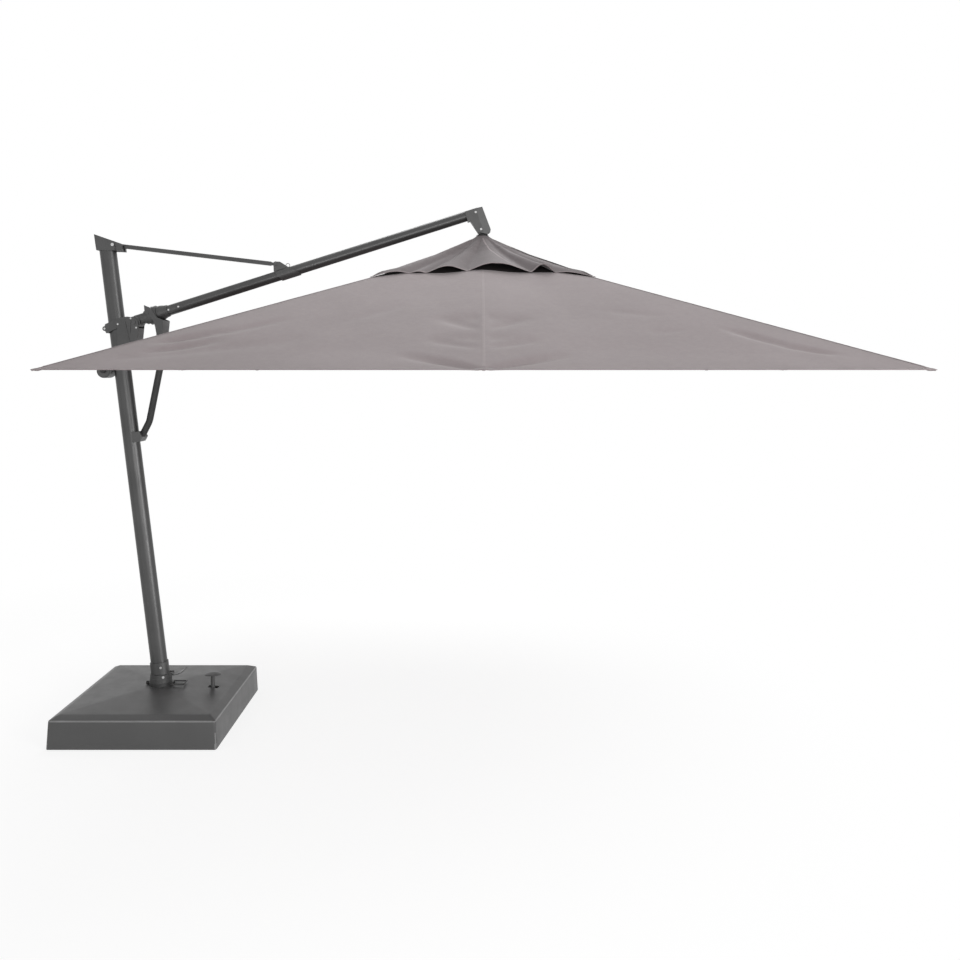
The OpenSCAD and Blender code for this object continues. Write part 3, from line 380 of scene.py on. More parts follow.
def random_waves(count, low, high):
    """Waves as (direction, waves per metre times 2 pi, phase, size)."""
    waves = []
    for _ in range(count):
        direction = rng.uniform(0, math.pi)
        number = rng.uniform(low, high)
        phase = rng.uniform(0, 6.28)
        waves.append((direction, number, phase, rng.uniform(0.5, 1)))
    return waves


ripple = random_waves(16, 9, 26)
fine_ripple = random_waves(14, 40, 85)


def uneven(x, y, waves):
    total = np.zeros_like(x)
    for turn, k, phase, size in waves:
        total = total + size * np.sin(k * (x * math.cos(turn) + y * math.sin(turn)) + phase)
    return total / math.sqrt(len(waves))


def flat_height(h, t):
    """Height of the taut sheet at h and t."""
    angle = np.degrees(np.arctan(np.abs(t)))
    w = np.where(angle <= MEETING, angle / (2 * MEETING), 1 - (45 - angle) / (90 - 2 * MEETING))
    return HEM + (HALF - h) * (PITCH - PITCH_LESS * w) + CLOTH


# Folds of each side: (x0, u0, x1, u1, depth, width at the start, width at the end), metres, x along the
# hem from the side's middle, u inwards from the hem.
FOLDS = {
    "front": [
        (0.0, 0.006, 0.317, 0.150, 0.0120, 0.013, 0.036), (0.0, 0.006, -0.317, 0.150, 0.0120, 0.013, 0.036),
        (0.03, 0.235, 0.212, 0.315, 0.0075, 0.028, 0.034),
        (-0.03, 0.235, -0.212, 0.315, 0.0075, 0.028, 0.034),
        (-0.19, 0.335, 0.19, 0.335, 0.0050, 0.045, 0.045),
        (0.032, 0.454, 0.174, 0.576, 0.0085, 0.034, 0.040),
        (-0.032, 0.454, -0.174, 0.576, 0.0085, 0.034, 0.040),
        (-0.17, 0.575, 0.17, 0.575, 0.0060, 0.055, 0.055),
        (-1.363, 0.196, -1.127, 0.312, 0.0120, 0.022, 0.032),
        (-1.350, 0.290, -1.140, 0.412, 0.0110, 0.022, 0.032),
        (-1.45, 0.120, -0.80, 0.330, 0.0060, 0.035, 0.060),
        (-1.12, 0.400, -0.90, 0.560, 0.0070, 0.026, 0.032),
        (1.070, 0.431, 1.264, 0.244, 0.0095, 0.026, 0.024),
        (1.264, 0.244, 1.413, 0.162, 0.0085, 0.024, 0.020),
        (0.743, 0.416, 0.855, 0.452, 0.0045, 0.016, 0.016),
        (0.55, 0.700, 0.80, 0.620, 0.0030, 0.035, 0.035),
        (-0.62, 0.560, -0.40, 0.760, 0.0030, 0.035, 0.035),
    ],
    "right": [
        (0.0, 0.006, 0.280, 0.120, 0.0080, 0.013, 0.034), (0.0, 0.006, -0.340, 0.165, 0.0080, 0.013, 0.038),
        (0.02, 0.260, 0.24, 0.350, 0.0070, 0.028, 0.034), (-0.04, 0.220, -0.20, 0.300, 0.0070, 0.028, 0.034),
        (-0.16, 0.520, 0.18, 0.545, 0.0060, 0.050, 0.050),
        (-1.40, 0.170, -1.10, 0.330, 0.0060, 0.022, 0.030), (1.12, 0.400, 1.38, 0.200, 0.0065, 0.024, 0.022),
        (-0.86, 0.470, -0.66, 0.400, 0.0040, 0.018, 0.018), (0.50, 0.640, 0.78, 0.560, 0.0030, 0.035, 0.035),
    ],
    "back": [
        (0.0, 0.006, 0.330, 0.140, 0.0080, 0.013, 0.036), (0.0, 0.006, -0.300, 0.155, 0.0085, 0.013, 0.036),
        (0.03, 0.250, 0.20, 0.300, 0.0075, 0.028, 0.034), (-0.03, 0.240, -0.23, 0.330, 0.0070, 0.028, 0.034),
        (0.03, 0.470, 0.19, 0.560, 0.0080, 0.034, 0.040), (-0.03, 0.460, -0.16, 0.580, 0.0080, 0.034, 0.040),
        (-1.34, 0.230, -1.08, 0.400, 0.0055, 0.024, 0.030), (1.05, 0.320, 1.36, 0.180, 0.0060, 0.026, 0.022),
        (0.62, 0.520, 0.80, 0.610, 0.0040, 0.022, 0.022),
    ],
    "left": [
        (0.0, 0.006, 0.300, 0.155, 0.0085, 0.013, 0.036), (0.0, 0.006, -0.290, 0.130, 0.0080, 0.013, 0.036),
        (0.03, 0.240, 0.22, 0.330, 0.0070, 0.028, 0.034), (-0.03, 0.260, -0.19, 0.310, 0.0075, 0.028, 0.034),
        (-0.18, 0.560, 0.15, 0.540, 0.0060, 0.050, 0.050),
        (-1.42, 0.150, -1.16, 0.340, 0.0060, 0.022, 0.028), (1.14, 0.300, 1.40, 0.190, 0.0060, 0.024, 0.022),
        (-0.70, 0.480, -0.52, 0.420, 0.0040, 0.018, 0.018),
    ],
}
FOLD_GAIN = 1.35
SAG = 0.011  # between two ribs, away from the hem
HEM_SAG = 0.001
SLACK = 0.0013
FINE_SLACK = 0.00028
RIB_CLEAR = (0.009, 0.034)  # over these distances from a rib the cloth may start to dip


def turn_of(side):
    return SIDES.index(side) * math.pi / 2


def drape(side, h, t):
    """How far the cloth stands above the taut sheet: sag between ribs, tension folds and slack."""
    x, u = h * t, HALF - h
    angle = np.degrees(np.arctan(np.abs(t)))
    between = np.sin(np.pi * angle / 45) ** 2
    free = smooth(u, 0.0, 0.25) * smooth(h, 0.20, 0.55)
    total = -SAG * between * free
    total = total - HEM_SAG * between * smooth(u, 0.0, 0.05)
    world = turn_of(side)
    px = h * math.cos(world) - x * math.sin(world)
    py = h * math.sin(world) + x * math.cos(world)
    calm = np.minimum(smooth(u, 0.0, 0.12), smooth(h, 0.1, 0.3)) * (0.35 + 0.65 * between)
    total = total + SLACK * uneven(px, py, ripple) * calm
    total = total + FINE_SLACK * uneven(px, py, fine_ripple) * calm
    for x0, u0, x1, u1, depth, w0, w1 in FOLDS[side]:
        run = np.array((x1 - x0, u1 - u0))
        length = math.hypot(*run)
        s = ((x - x0) * run[0] + (u - u0) * run[1]) / length ** 2
        across = ((x - x0) * -run[1] + (u - u0) * run[0]) / length
        inside = np.clip(s, 0, 1)
        beyond = (s - inside) * length
        width = w0 + (w1 - w0) * inside
        ends = np.sin(np.pi * np.clip(0.10 + 0.80 * inside, 0, 1)) ** 0.7
        total = total - FOLD_GAIN * depth * ends * np.exp(-(across ** 2 + beyond ** 2) / width ** 2)
    off_rib = np.minimum(np.abs(x), (h - np.abs(x)) / math.sqrt(2))
    return np.maximum(total, 0) + np.minimum(total, 0) * smooth(off_rib, *RIB_CLEAR)


def place(side, h, t, z):
    """World points from h, t and height."""
    c, s = math.cos(turn_of(side)), math.sin(turn_of(side))
    x, y = h, h * t
    return np.stack([HUB.x + c * x - s * y, HUB.y + s * x + c * y, z], axis=-1)


def facing(points):
    """Upward normals of a grid of points."""
    n = np.cross(np.gradient(points, axis=0), np.gradient(points, axis=1))
    n /= np.maximum(np.linalg.norm(n, axis=-1, keepdims=True), 1e-12)
    return n * np.sign(n[..., 2:3].mean())


def surface(side, h, t, z, uv_y):
    """A grid as (points, normals, uv)."""
    points = place(side, h, t, z)
    return points, facing(points), np.stack([h * t, uv_y], axis=-1)


def columns(middle, corner):
    """t values along one side: half a corner, the middle panel and half a corner."""
    a = np.linspace(-1, -0.5, corner + 1)
    b = np.linspace(-0.5, 0.5, middle + 1)
    return np.concatenate([a, b[1:], -a[::-1][1:]])


def split(side_grids, middle, corner):
    """{rib number: patches} from the four sides' grids: one patch on a middle rib, two at a corner."""
    made = {}
    for k, side in enumerate(SIDES):
        grid, after = side_grids[side], side_grids[SIDES[(k + 1) % 4]]
        made[2 * k + 1] = [tuple(g[:, corner:corner + middle + 1] for g in grid)]
        first_half = tuple(g[:, corner + middle:] for g in grid)
        made[2 * k + 2] = [first_half, tuple(g[:, :corner + 1] for g in after)]
    return made


MIDDLE_COLUMNS, CORNER_COLUMNS = 72, 36
MAIN_ROWS = 86
MAIN_WEAVE = 1.08  # cloth along the slope per metre of h
main = {}
for side in SIDES:
    t, h = np.meshgrid(columns(MIDDLE_COLUMNS, CORNER_COLUMNS), np.linspace(HOLE, HALF, MAIN_ROWS))
    z = flat_height(h, t) + drape(side, h, t)
    main[side] = surface(side, h, t, z, (HALF - h) * MAIN_WEAVE)
main_panels = split(main, MIDDLE_COLUMNS, CORNER_COLUMNS)

# ---------------------------------------------------------------- vent cap shape
# Each side's edge: the places (t, h) where it touches the canopy, and how high the cloth lifts between.
EDGE = {
    "front": ([(-1, 0.583), (-0.767, 0.505), (-0.608, 0.4925), (-0.179, 0.464), (0.535, 0.480),
               (0.783, 0.4925), (1, 0.583)], [0.016, 0.010, 0.031, 0.044, 0.044, 0.010]),
    "right": ([(-1, 0.583), (-0.720, 0.498), (-0.300, 0.470), (0.150, 0.464), (0.480, 0.476),
               (0.800, 0.500), (1, 0.583)], [0.014, 0.034, 0.030, 0.024, 0.038, 0.010]),
    "back": ([(-1, 0.583), (-0.800, 0.512), (-0.420, 0.474), (0.050, 0.462), (0.610, 0.486),
              (0.790, 0.500), (1, 0.583)], [0.012, 0.038, 0.036, 0.042, 0.016, 0.012]),
    "left": ([(-1, 0.583), (-0.760, 0.500), (-0.520, 0.482), (0.000, 0.462), (0.380, 0.472),
              (0.760, 0.496), (1, 0.583)], [0.014, 0.024, 0.042, 0.030, 0.036, 0.012]),
}
NECK = 0.034  # h of the cap's top, at the hub
# The cap's height above the canopy, before its edge lifts, at shares of the way from neck to edge.
GAP_AT = [0.0, 0.027, 0.19, 0.33, 0.41, 0.675, 0.77, 0.90, 1.0]
GAP = [0.0728, 0.0655, 0.048, 0.036, 0.028, 0.017, 0.012, 0.006, 0.0022]
CORNER_STEP = 0.03  # a stretch of edge whose ends differ by more than this in h curves to the corner
VENT_DIP = -0.004  # the cap follows the canopy's folds no deeper than this
VENT_WAVE = 0.0030  # height of the waves between neck and edge
VENT_PULL = 0.0055  # how far the cap is drawn down towards each contact
VENT_PULL_WIDTH = 0.075
CORNER_PUFF = 0.011  # how far the cap stands up over a corner rib, near its edge
PUFF_AT, PUFF_WIDTH, PUFF_LENGTH = 0.90, 0.09, 0.07
VENT_WEAVE = 1.06  # the same for the cap as MAIN_WEAVE


def vent_edge(side, t):
    """h of the vent cap's edge and its lift above the canopy, along t."""
    stops, lifts = EDGE[side]
    edge, lift = np.full_like(t, stops[0][1]), np.zeros_like(t)
    for (t0, h0), (t1, h1), rise in zip(stops, stops[1:], lifts):
        s = np.clip((t - t0) / (t1 - t0), 0, 1)
        here = (t >= t0) & (t <= t1)
        if h1 > h0 + CORNER_STEP:
            bend = s ** 1.5
        elif h0 > h1 + CORNER_STEP:
            bend = 1 - (1 - s) ** 1.5
        else:
            bend = s
        edge = np.where(here, h0 + (h1 - h0) * bend, edge)
        lift = np.where(here, rise * np.sin(np.pi * s) ** 1.3, lift)
    return edge, lift


def vent_surface(side, t, f):
    """The cap at t and at share f of the way from its neck to its edge."""
    edge, lift = vent_edge(side, t)
    h = NECK + f * (edge - NECK)
    under = flat_height(h, t) + np.maximum(drape(side, h, t), VENT_DIP)
    rise = lift * (0.30 * f + 0.70 * f ** 2.4)
    puff = np.exp(-((1 - np.abs(t)) / PUFF_WIDTH) ** 2) * np.exp(-((f - PUFF_AT) / PUFF_LENGTH) ** 2)
    loose = np.sin(np.pi * np.clip(f, 0, 1))
    slack = VENT_WAVE * loose * np.sin(11 * t + 2.0 * SIDES.index(side))
    for at, _ in EDGE[side][0][1:-1]:
        slack = slack - VENT_PULL * loose * np.exp(-((t - at * 0.9) / VENT_PULL_WIDTH) ** 2)
    z = under + np.interp(f, GAP_AT, GAP) + rise + CORNER_PUFF * puff + slack * smooth(f, 0.0, 0.15)
    return surface(side, h, t, z, (0.6 - h) * VENT_WEAVE)


# The cap is a crown round the hub and flaps below it, which start under the crown's edge.
VENT_MIDDLE, VENT_CORNER = 64, 32
VENT_T = columns(VENT_MIDDLE, VENT_CORNER)
VENT_F = np.concatenate([np.linspace(0, 0.1, 4), np.linspace(0.1, 1, 27)[1:]])
CROWN_END, FLAP_START = 9, 7  # rows of the cap
CROWN_LIFT = 0.0008  # of the crown above the flaps
vent = {side: vent_surface(side, *np.meshgrid(VENT_T, VENT_F)) for side in SIDES}
crown, flaps = {}, {}
for side, (points, normals, uv) in vent.items():
    lifted = points[:CROWN_END] + CROWN_LIFT * normals[:CROWN_END]
    crown[side] = (lifted, normals[:CROWN_END], uv[:CROWN_END])
    flaps[side] = (points[FLAP_START:], normals[FLAP_START:], uv[FLAP_START:])
crown_panels = split(crown, VENT_MIDDLE, VENT_CORNER)
vent_panels = split(flaps, VENT_MIDDLE, VENT_CORNER)

# A near-black sheet sewn round the opening under the vent cap, just inside the cap's edge: painted shade
# that darkens the gap under the cap's lifted edge.
SHADE_SHEET_START = HOLE + 0.002
SHADE_SHEET_INSET = 0.010
SHADE_SHEET_LIFT = 0.0007
painted_shade_grids = {}
for side in SIDES:
    t, s = np.meshgrid(VENT_T, np.linspace(0, 1, 12))
    h = SHADE_SHEET_START + s * (vent_edge(side, t)[0] - SHADE_SHEET_INSET - SHADE_SHEET_START)
    painted_shade_grids[side] = surface(side, h, t, flat_height(h, t) + drape(side, h, t) + SHADE_SHEET_LIFT, h)
painted_shade_panels = split(painted_shade_grids, VENT_MIDDLE, VENT_CORNER)


# ---------------------------------------------------------------- strips sewn on the cloth
def band(base, normals, inward, profile):
    """A closed strip along a line: profile is [(inwards, up)] around its section."""
    return np.stack([base + inward * a + normals * b for a, b in profile], axis=0)


def closed_strip(name, sections, material):
    """Closed mesh from sections[around][along]."""
    around, along = sections.shape[:2]
    verts = sections.transpose(1, 0, 2).reshape(-1, 3)
    faces = grid_faces(along, around, wrap=True)
    faces.append(tuple(range(around))[::-1])
    faces.append(tuple(range((along - 1) * around, along * around)))
    obj = mesh_object(name, verts, faces, material, angle=50)
    layer = obj.data.uv_layers.new(name="weave")
    uv = np.array([obj.data.vertices[loop.vertex_index].co[:2] for loop in obj.data.loops])
    layer.data.foreach_set("uv", uv.astype(np.float32).ravel())
    return obj


# Sections as (inwards, up) from the cloth's edge.
HEM_SECTION = [(0.020, 0.0006), (0.019, 0.0014), (0.004, 0.0016), (0.0, 0.0010), (-0.0010, 0.0),
               (-0.0008, -0.0011), (0.0008, -0.0016), (0.005, -0.0020), (0.019, -0.0020), (0.020, -0.0014)]
VENT_SECTION = [(0.009, 0.0004), (0.0085, 0.0010), (0.0, 0.0011), (-0.0010, -0.0002), (-0.0004, -0.0014),
                (0.0085, -0.0012), (0.009, -0.0006)]
SEAM_WIDTH, VENT_SEAM_WIDTH = 0.014, 0.009


def edge_strip(name, patch, section, material):
    """A binding along the outer edge row of a panel's patch."""
    points, normals, _ = patch
    inward = unit(points[-3] - points[-1])
    return closed_strip(name, band(points[-1], normals[-1], inward, section), material)


def seam(name, points, normals, width, material):
    """A flat-felled seam lying on the cloth along a line of points."""
    along = unit(np.gradient(points, axis=0))
    across = unit(np.cross(normals, along))
    w = width / 2
    section = [(-w, 0.0), (-w + 0.0012, 0.0004), (-0.0014, 0.0005), (0.0, 0.0003), (0.0014, 0.0005),
               (w - 0.0012, 0.0004), (w, 0.0), (0.0, -0.0003)]
    return closed_strip(name, band(points, normals, across, section), material)


RIB_REACH = 0.045  # from the hub's axis to a rib's pin
RIB_RISE = 0.6985  # from a rib's tip to its pin
POCKET_DROP = 0.0095  # of a pocket's line below the hem, at the rib's tip
POCKET_START, POCKET_LENGTH = -0.100, 0.092  # along that line, from the rib's tip
POCKET_WIDE, POCKET_DEEP = 0.0105, 0.0068
POCKET_BASE, POCKET_TOP = 0.0060, 0.0094  # above that line


def pocket(name, i, material):
    """The sleeve under the hem that takes the end rod of rib i."""
    azimuth = math.radians((i - 1) * 45)
    reach = HALF * (math.sqrt(2) if i % 2 == 0 else 1)
    fall = math.atan(RIB_RISE / (reach - RIB_REACH))
    out = np.array((math.cos(azimuth) * math.cos(fall), math.sin(azimuth) * math.cos(fall), -math.sin(fall)))
    across = np.array((-math.sin(azimuth), math.cos(azimuth), 0.0))
    up = np.cross(out, across)
    tip = np.array((HUB.x + math.cos(azimuth) * reach, math.sin(azimuth) * reach, HEM - POCKET_DROP))
    rows = []
    for s in np.linspace(0, 1, 15):
        middle = tip + out * (POCKET_START + POCKET_LENGTH * s)
        wide = POCKET_WIDE * (1 - 0.25 * smooth(s, 0.6, 1.0))
        deep = POCKET_DEEP * (1 - 0.72 * smooth(s, 0.72, 1.0)) + 0.0012 * math.exp(-(s / 0.05) ** 2)
        ring = []
        for a in np.linspace(0, math.pi, 11):
            under = POCKET_BASE - deep * math.sin(a) * 1.35
            ring.append(middle + across * (wide * math.cos(a)) + up * under)
        for a in np.linspace(math.pi, 0, 7)[1:-1]:
            ring.append(middle + across * (wide * math.cos(a)) + up * POCKET_TOP)
        rows.append(ring)
    return closed_strip(name, np.array(rows).transpose(1, 0, 2), material)


# ---------------------------------------------------------------- canopy pieces
# How far the cap's seam over each middle rib has wandered to the side at its edge, as a share of the
# middle flap's width.
SEAM_LEAN = {1: 0.0, 3: 0.12, 5: -0.10, 7: 0.42}
KEEP_MAIN, KEEP_VENT = 0.10, 0.26  # share of its width that the cloth keeps when folded


def corner_line(before, after):
    """The shared column of two grids, with the normals between theirs."""
    return before[0][:, -1], unit(before[1][:, -1] + after[1][:, 0])


def seam_lines(i):
    """Points and normals of the canopy's and of the vent cap's seam over rib i, from the top down."""
    if i % 2 == 0:
        sides = SIDES[i // 2 - 1], SIDES[i // 2 % 4]
        return corner_line(*main_panels[i]), corner_line(*(vent[side] for side in sides))
    points, normals, _ = main_panels[i][0]
    middle = points.shape[1] // 2
    count = len(VENT_F)
    lean = SEAM_LEAN[i] * VENT_MIDDLE * np.linspace(0, 1, count) ** 0.8
    column = VENT_CORNER + VENT_MIDDLE // 2 + np.round(lean).astype(int)
    line, up = (grid[np.arange(count), column] for grid in vent[SIDES[i // 2]][:2])
    line[1:] = (line[1:] * 2 + line[:-1]) / 3
    return (points[:, middle], normals[:, middle]), (line, up)


def cloth_on_rib(i):
    """The cloth that moves with rib i: canopy, the near-black sheet of painted shade under the cap, vent
    cap, hems, seams and the rib's pocket.
    """
    body, turn = f"rib_{i}", math.radians((i - 1) * 45)
    if i % 2:
        halves = [("", turn)]
    else:
        halves = [("a", turn - math.pi / 4), ("b", turn + math.pi / 4)]
    (line, up), (vent_line, vent_up) = seam_lines(i)
    felled = seam(f"seam_{i}", line[:-2], up[:-2], SEAM_WIDTH, seam_fabric_painted_highlight)
    vent_felled = seam(f"vent_seam_{i}", vent_line[FLAP_START:-1], vent_up[FLAP_START:-1], VENT_SEAM_WIDTH,
                       seam_fabric_painted_highlight)
    crown_line = (vent_line + CROWN_LIFT * vent_up)[2:CROWN_END]
    crown_felled = seam(f"crown_seam_{i}", crown_line, vent_up[2:CROWN_END], VENT_SEAM_WIDTH, seam_fabric_painted_highlight)
    sleeve = pocket(f"pocket_{i}", i, binding)
    top = panel(f"vent_crown_{i}", crown_panels[i], vent_fabric_painted_shade)
    for k, (letter, face_turn) in enumerate(halves):
        tag = f"{i}{letter}"
        sheet = panel(f"canopy_{tag}", [main_panels[i][k]], fabric)
        cap = panel(f"vent_{tag}", [vent_panels[i][k]], vent_fabric_painted_shade)
        # the near-black sheet under the cap's edge, painted shade
        painted_shade_sheet = panel(f"vent_painted_shade_{tag}", [painted_shade_panels[i][k]], painted_shade_cloth)
        hem = edge_strip(f"hem_{tag}", main_panels[i][k], HEM_SECTION, binding)
        vent_hem = edge_strip(f"vent_hem_{tag}", vent_panels[i][k], VENT_SECTION, binding)
        main_pieces, vent_pieces = [sheet, painted_shade_sheet, hem], [cap, vent_hem]
        on_main, on_vent = [hem, painted_shade_sheet], [vent_hem]
        if k == 0:
            main_pieces.append(felled)
            vent_pieces.append(vent_felled)
            on_main += [felled, sleeve]
            on_vent.append(vent_felled)
        for group, keep in ((main_pieces, KEEP_MAIN), (vent_pieces, KEEP_VENT)):
            for piece in group:
                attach(piece, body)
                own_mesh(piece)
        if k == 0:
            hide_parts(f"gore_{i}")
    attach(sleeve, body)
    for piece in (top, crown_felled):
        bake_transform(piece)


for i in range(1, 9):
    cloth_on_rib(i)


# ---------------------------------------------------------------- base cover
CORNER_SIGNS = ((1, 1), (-1, 1), (-1, -1), (1, -1))
SHELL_WALL = 0.004
SLOT_AT = 0.305  # x of the middle of the wheel pedal's slot
SLOT_ARC_X, SLOT_ARC_Y, SLOT_RADIUS = 0.024, 0.012, 0.006  # centres and radius of its corners
SHELL_FOOT, SHELL_LIP = 0.0032, 0.006  # heights of the lower edge and of the top of its small bevel
# Heights and insets of the wall's top and of the roof's outer edge.
SHOULDER_HEIGHT, ROOF_HEIGHT = 0.152, 0.173
SHOULDER_INSET, ROOF_INSET = 0.007, 0.049
COLLAR_OUTER, COLLAR_INNER = 0.080, 0.046  # half widths of the flat ring round the mast's foot
SPACING = 0.03  # between rings on the wide faces, which keeps the shading even
BODY_CORNER = 0.012  # corner radius of the body
ROOF_CORNER, COLLAR_CORNER = 0.02, 0.05  # and where the roof meets the flat ring, and inside that


def corner_arc(q, radius, steps):
    """Points of a quarter circle that starts at q quarters of a turn."""
    start_angle = q * math.pi / 2
    return [(radius * math.cos(start_angle + a), radius * math.sin(start_angle + a))
            for a in np.linspace(0, math.pi / 2, steps)]


def rounded_ring(half, radius, z, corner=7, edge=10):
    """Points round a square with rounded corners."""
    arcs = []
    for q, (sx, sy) in enumerate(CORNER_SIGNS):
        cx, cy = (half - radius) * sx, (half - radius) * sy
        arcs.append([(cx + x, cy + y) for x, y in corner_arc(q, radius, corner)])
    ring = []
    for arc, following in zip(arcs, arcs[1:] + arcs[:1]):
        ring += arc
        (x0, y0), (x1, y1) = arc[-1], following[0]
        for k in range(1, edge):
            s = k / edge
            ring.append((x0 + (x1 - x0) * s, y0 + (y1 - y0) * s))
    return [(x, y, z) for x, y in ring]


def fillet(points, radii, steps=5):
    """A polyline of (half, z) with its inner corners rounded."""
    out = [points[0]]
    for k in range(1, len(points) - 1):
        p = np.array(points[k])
        a, b = np.array(points[k - 1]) - p, np.array(points[k + 1]) - p
        la, lb = np.linalg.norm(a), np.linalg.norm(b)
        cut = min(radii[k], la * 0.45, lb * 0.45)
        for s in np.linspace(0, 1, steps):
            out.append(tuple(p + a / la * cut * (1 - s) ** 2 + b / lb * cut * s ** 2))
    out.append(points[-1])
    return out


def corner_radius(half):
    """A ring's corner radius: small on the body, and growing to a circle at the collar's inside."""
    if half > 0.3:
        radius = BODY_CORNER
    else:
        inwards = (COLLAR_OUTER - min(half, COLLAR_OUTER)) / (COLLAR_OUTER - COLLAR_INNER)
        radius = ROOF_CORNER + (COLLAR_CORNER - ROOF_CORNER) * inwards
    return min(radius, half * 0.98)


def slot_cutter():
    """A block through the roof for the wheel pedal's slot."""
    verts = []
    for z in (0.12, 0.23):
        for q, (sx, sy) in enumerate(CORNER_SIGNS):
            for x, y in corner_arc(q, SLOT_RADIUS, 6):
                verts.append((SLOT_AT + sx * SLOT_ARC_X + x, sy * SLOT_ARC_Y + y, z))
    count = len(verts) // 2
    faces = grid_faces(2, count, wrap=True)
    faces += [tuple(range(count))[::-1], tuple(range(count, 2 * count))]
    return mesh_object("slot_cutter", verts, faces, plastic, smooth=False)


def on_painted_highlight(face, half):
    """True on the rounding of the shoulder and on the four upright corners, which get a painted highlight.
    """
    x, y, z = (abs(v) for v in face.center)
    shoulder = 0.146 < z < 0.158 and 0.15 < abs(face.normal.z) < 0.85 and max(x, y) > half - 0.02
    upright = z < SHOULDER_HEIGHT and min(x, y) > half - 0.009
    return shoulder or upright


def base_shell():
    """The moulded cover over the ballast: walls, shoulder, sloping roof and the collar's ring."""
    _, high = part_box("base_cover")
    half, top = high.x, high.z
    profile = [(half - 0.0005, SHELL_FOOT), (half, SHELL_LIP), (half - SHOULDER_INSET, SHOULDER_HEIGHT),
               (half - ROOF_INSET, ROOF_HEIGHT), (COLLAR_OUTER, top), (COLLAR_INNER, top)]
    path = fillet(profile, [0, 0.002, 0.005, 0.006, 0.02, 0])
    rings = [rounded_ring(h, corner_radius(h), z) for h, z in path]
    dense = [rings[0]]
    for a, b in zip(rings, rings[1:]):
        run = max(abs(a[0][0] - b[0][0]), abs(a[0][2] - b[0][2]))
        for s in np.linspace(0, 1, max(2, int(run / SPACING) + 2))[1:]:
            dense.append([tuple(np.array(p) * (1 - s) + np.array(q) * s) for p, q in zip(a, b)])
    verts = [p for ring in dense for p in ring]
    obj = mesh_object("cover_shell", verts, grid_faces(len(dense), len(rings[0]), wrap=True), plastic)
    wall = obj.modifiers.new("wall", "SOLIDIFY")
    wall.thickness = SHELL_WALL
    wall.offset = -1
    cutter = slot_cutter()
    cut = obj.modifiers.new("cut", "BOOLEAN")
    cut.operation = "DIFFERENCE"
    cut.object = cutter
    cut.solver = "EXACT"
    bpy.context.view_layer.update()
    made = bpy.data.meshes.new_from_object(obj.evaluated_get(bpy.context.evaluated_depsgraph_get()))
    obj.modifiers.clear()
    obj.data = made
    bpy.data.objects.remove(cutter)
    made.shade_smooth()
    made.set_sharp_from_angle(angle=math.radians(34))
    # The shoulder's rounding and the upright corners take the lighter copy of the plastic, a painted
    # highlight.
    made.materials.append(plastic_painted_highlight)
    for face in made.polygons:
        if on_painted_highlight(face, half):
            face.material_index = 1
    return obj


shell = base_shell()
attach(shell, "base")
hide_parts("base_cover")


# ---------------------------------------------------------------- studio
FLOOR_GLOW = 0.83  # light the floor shows of its own, so that it stays pale in the object's shade
FLOOR_SHADE = 0.27  # how strongly shadows show on it
FLOOR_FADE = (1.6, 4.2)  # from the middle, where the floor turns into plain white
SOFT_LIGHT = 0.32  # strength of the world's even light
WHITE = (1, 1, 1, 1)
FLOOR_HALF = 40  # half the side of the floor


def seen_rays(n):
    """1 where the eye, a mirror or glass looks."""
    path = n.new("LightPath")
    seen = n.math("MAXIMUM", path.outputs["Is Camera Ray"], path.outputs["Is Glossy Ray"])
    return n.math("MAXIMUM", seen, path.outputs["Is Transmission Ray"])


def emission(n, strength):
    node = n.new("Emission")
    node.inputs["Strength"].default_value = strength
    return node.outputs[0]


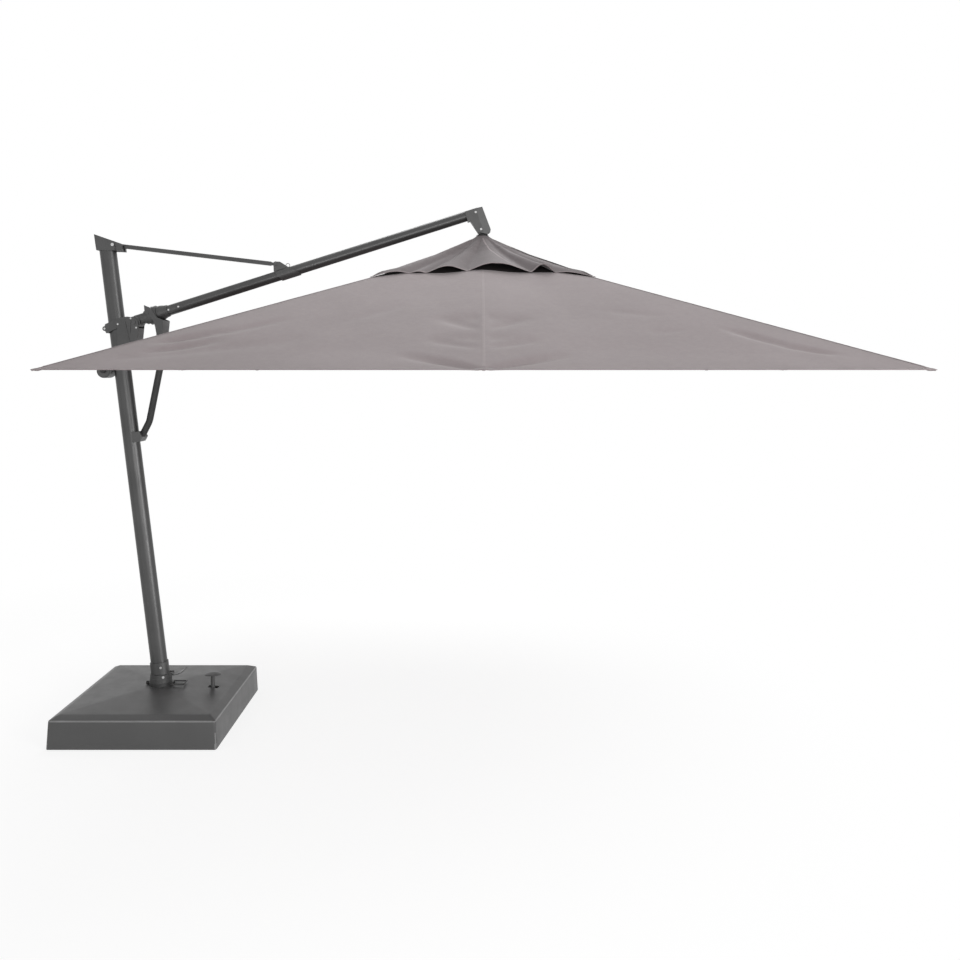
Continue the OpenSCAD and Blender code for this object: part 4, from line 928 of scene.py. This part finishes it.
def floor_material():
    """Pale paper that lights the object, seen as near white with soft shadows."""
    material = bpy.data.materials.new("studio_floor")
    material.use_nodes = True
    n = Nodes(material.node_tree)
    out = n.new("OutputMaterial")
    where = n.new("TexCoord").outputs["Object"]
    paper = n.new("BsdfDiffuse")
    tone = n.ranged(n.noise(where, 1.4), 0.4, 0.6)
    n.link(n.mix(tone, (0.80, 0.80, 0.80, 1), (0.82, 0.82, 0.82, 1)), paper.inputs["Color"])
    shade = n.new("BsdfDiffuse")
    shade.inputs["Color"].default_value = (FLOOR_SHADE, FLOOR_SHADE, FLOOR_SHADE, 1)
    near = n.new("AddShader")
    n.link(shade.outputs[0], near.inputs[0])
    n.link(emission(n, FLOOR_GLOW), near.inputs[1])
    away = n.new("VectorMath", operation="LENGTH")
    n.link(where, away.inputs[0])
    fade = n.ranged(away.outputs["Value"], *FLOOR_FADE)
    seen = n.mix_shaders(fade, near.outputs[0], emission(n, 1.0))
    n.link(n.mix_shaders(seen_rays(n), paper.outputs[0], seen), out.inputs["Surface"])
    return material


def background(n, strength):
    node = n.new("Background")
    node.inputs["Color"].default_value = WHITE
    node.inputs["Strength"].default_value = strength
    return node.outputs[0]


def studio_world():
    """A weak even light that is seen as white."""
    world = bpy.data.worlds.new("studio")
    world.use_nodes = True
    n = Nodes(world.node_tree)
    out = n.new("OutputWorld")
    n.link(n.mix_shaders(seen_rays(n), background(n, SOFT_LIGHT), background(n, 1.0)), out.inputs["Surface"])
    return world


def softbox(name, at, to, width, height, power):
    """A rectangular lamp at one place, turned towards another."""
    lamp = bpy.data.lights.new(name, "AREA")
    lamp.shape = "RECTANGLE"
    lamp.size = width
    lamp.size_y = height
    lamp.energy = power
    obj = bpy.data.objects.new(name, lamp)
    scene.collection.objects.link(obj)
    obj.location = at
    obj.rotation_euler = (Vector(to) - Vector(at)).to_track_quat("-Z", "Y").to_euler()


floor_corners = [(x * FLOOR_HALF, y * FLOOR_HALF, 0) for x, y in ((-1, -1), (1, -1), (1, 1), (-1, 1))]
floor = mesh_object("floor", floor_corners, [(0, 1, 2, 3)], floor_material(), smooth=False)
scene.world = studio_world()
softbox("side_box", (7.2, -6.0, 2.2), (0.2, 0.0, 1.9), 3.0, 5.0, 350)
softbox("front_box", (1.3, -6.2, 1.45), (0.7, 0.0, 2.5), 4.0, 0.9, 68)
softbox("top_box", (1.55, 2.0, 6.0), (1.87, -0.4, 2.0), 3.4, 3.4, 144)

camera = bpy.data.objects.new("camera", bpy.data.cameras.new("camera"))
scene.collection.objects.link(camera)
camera.data.lens = 33.75
camera.data.sensor_width = 36
camera.data.shift_y = -0.1146
camera.data.clip_end = 120
camera.location = (1.8536, -5.23, 2.020)
camera.rotation_euler = (math.radians(90), 0, 0)
scene.camera = camera
scene.view_settings.view_transform = "Standard"
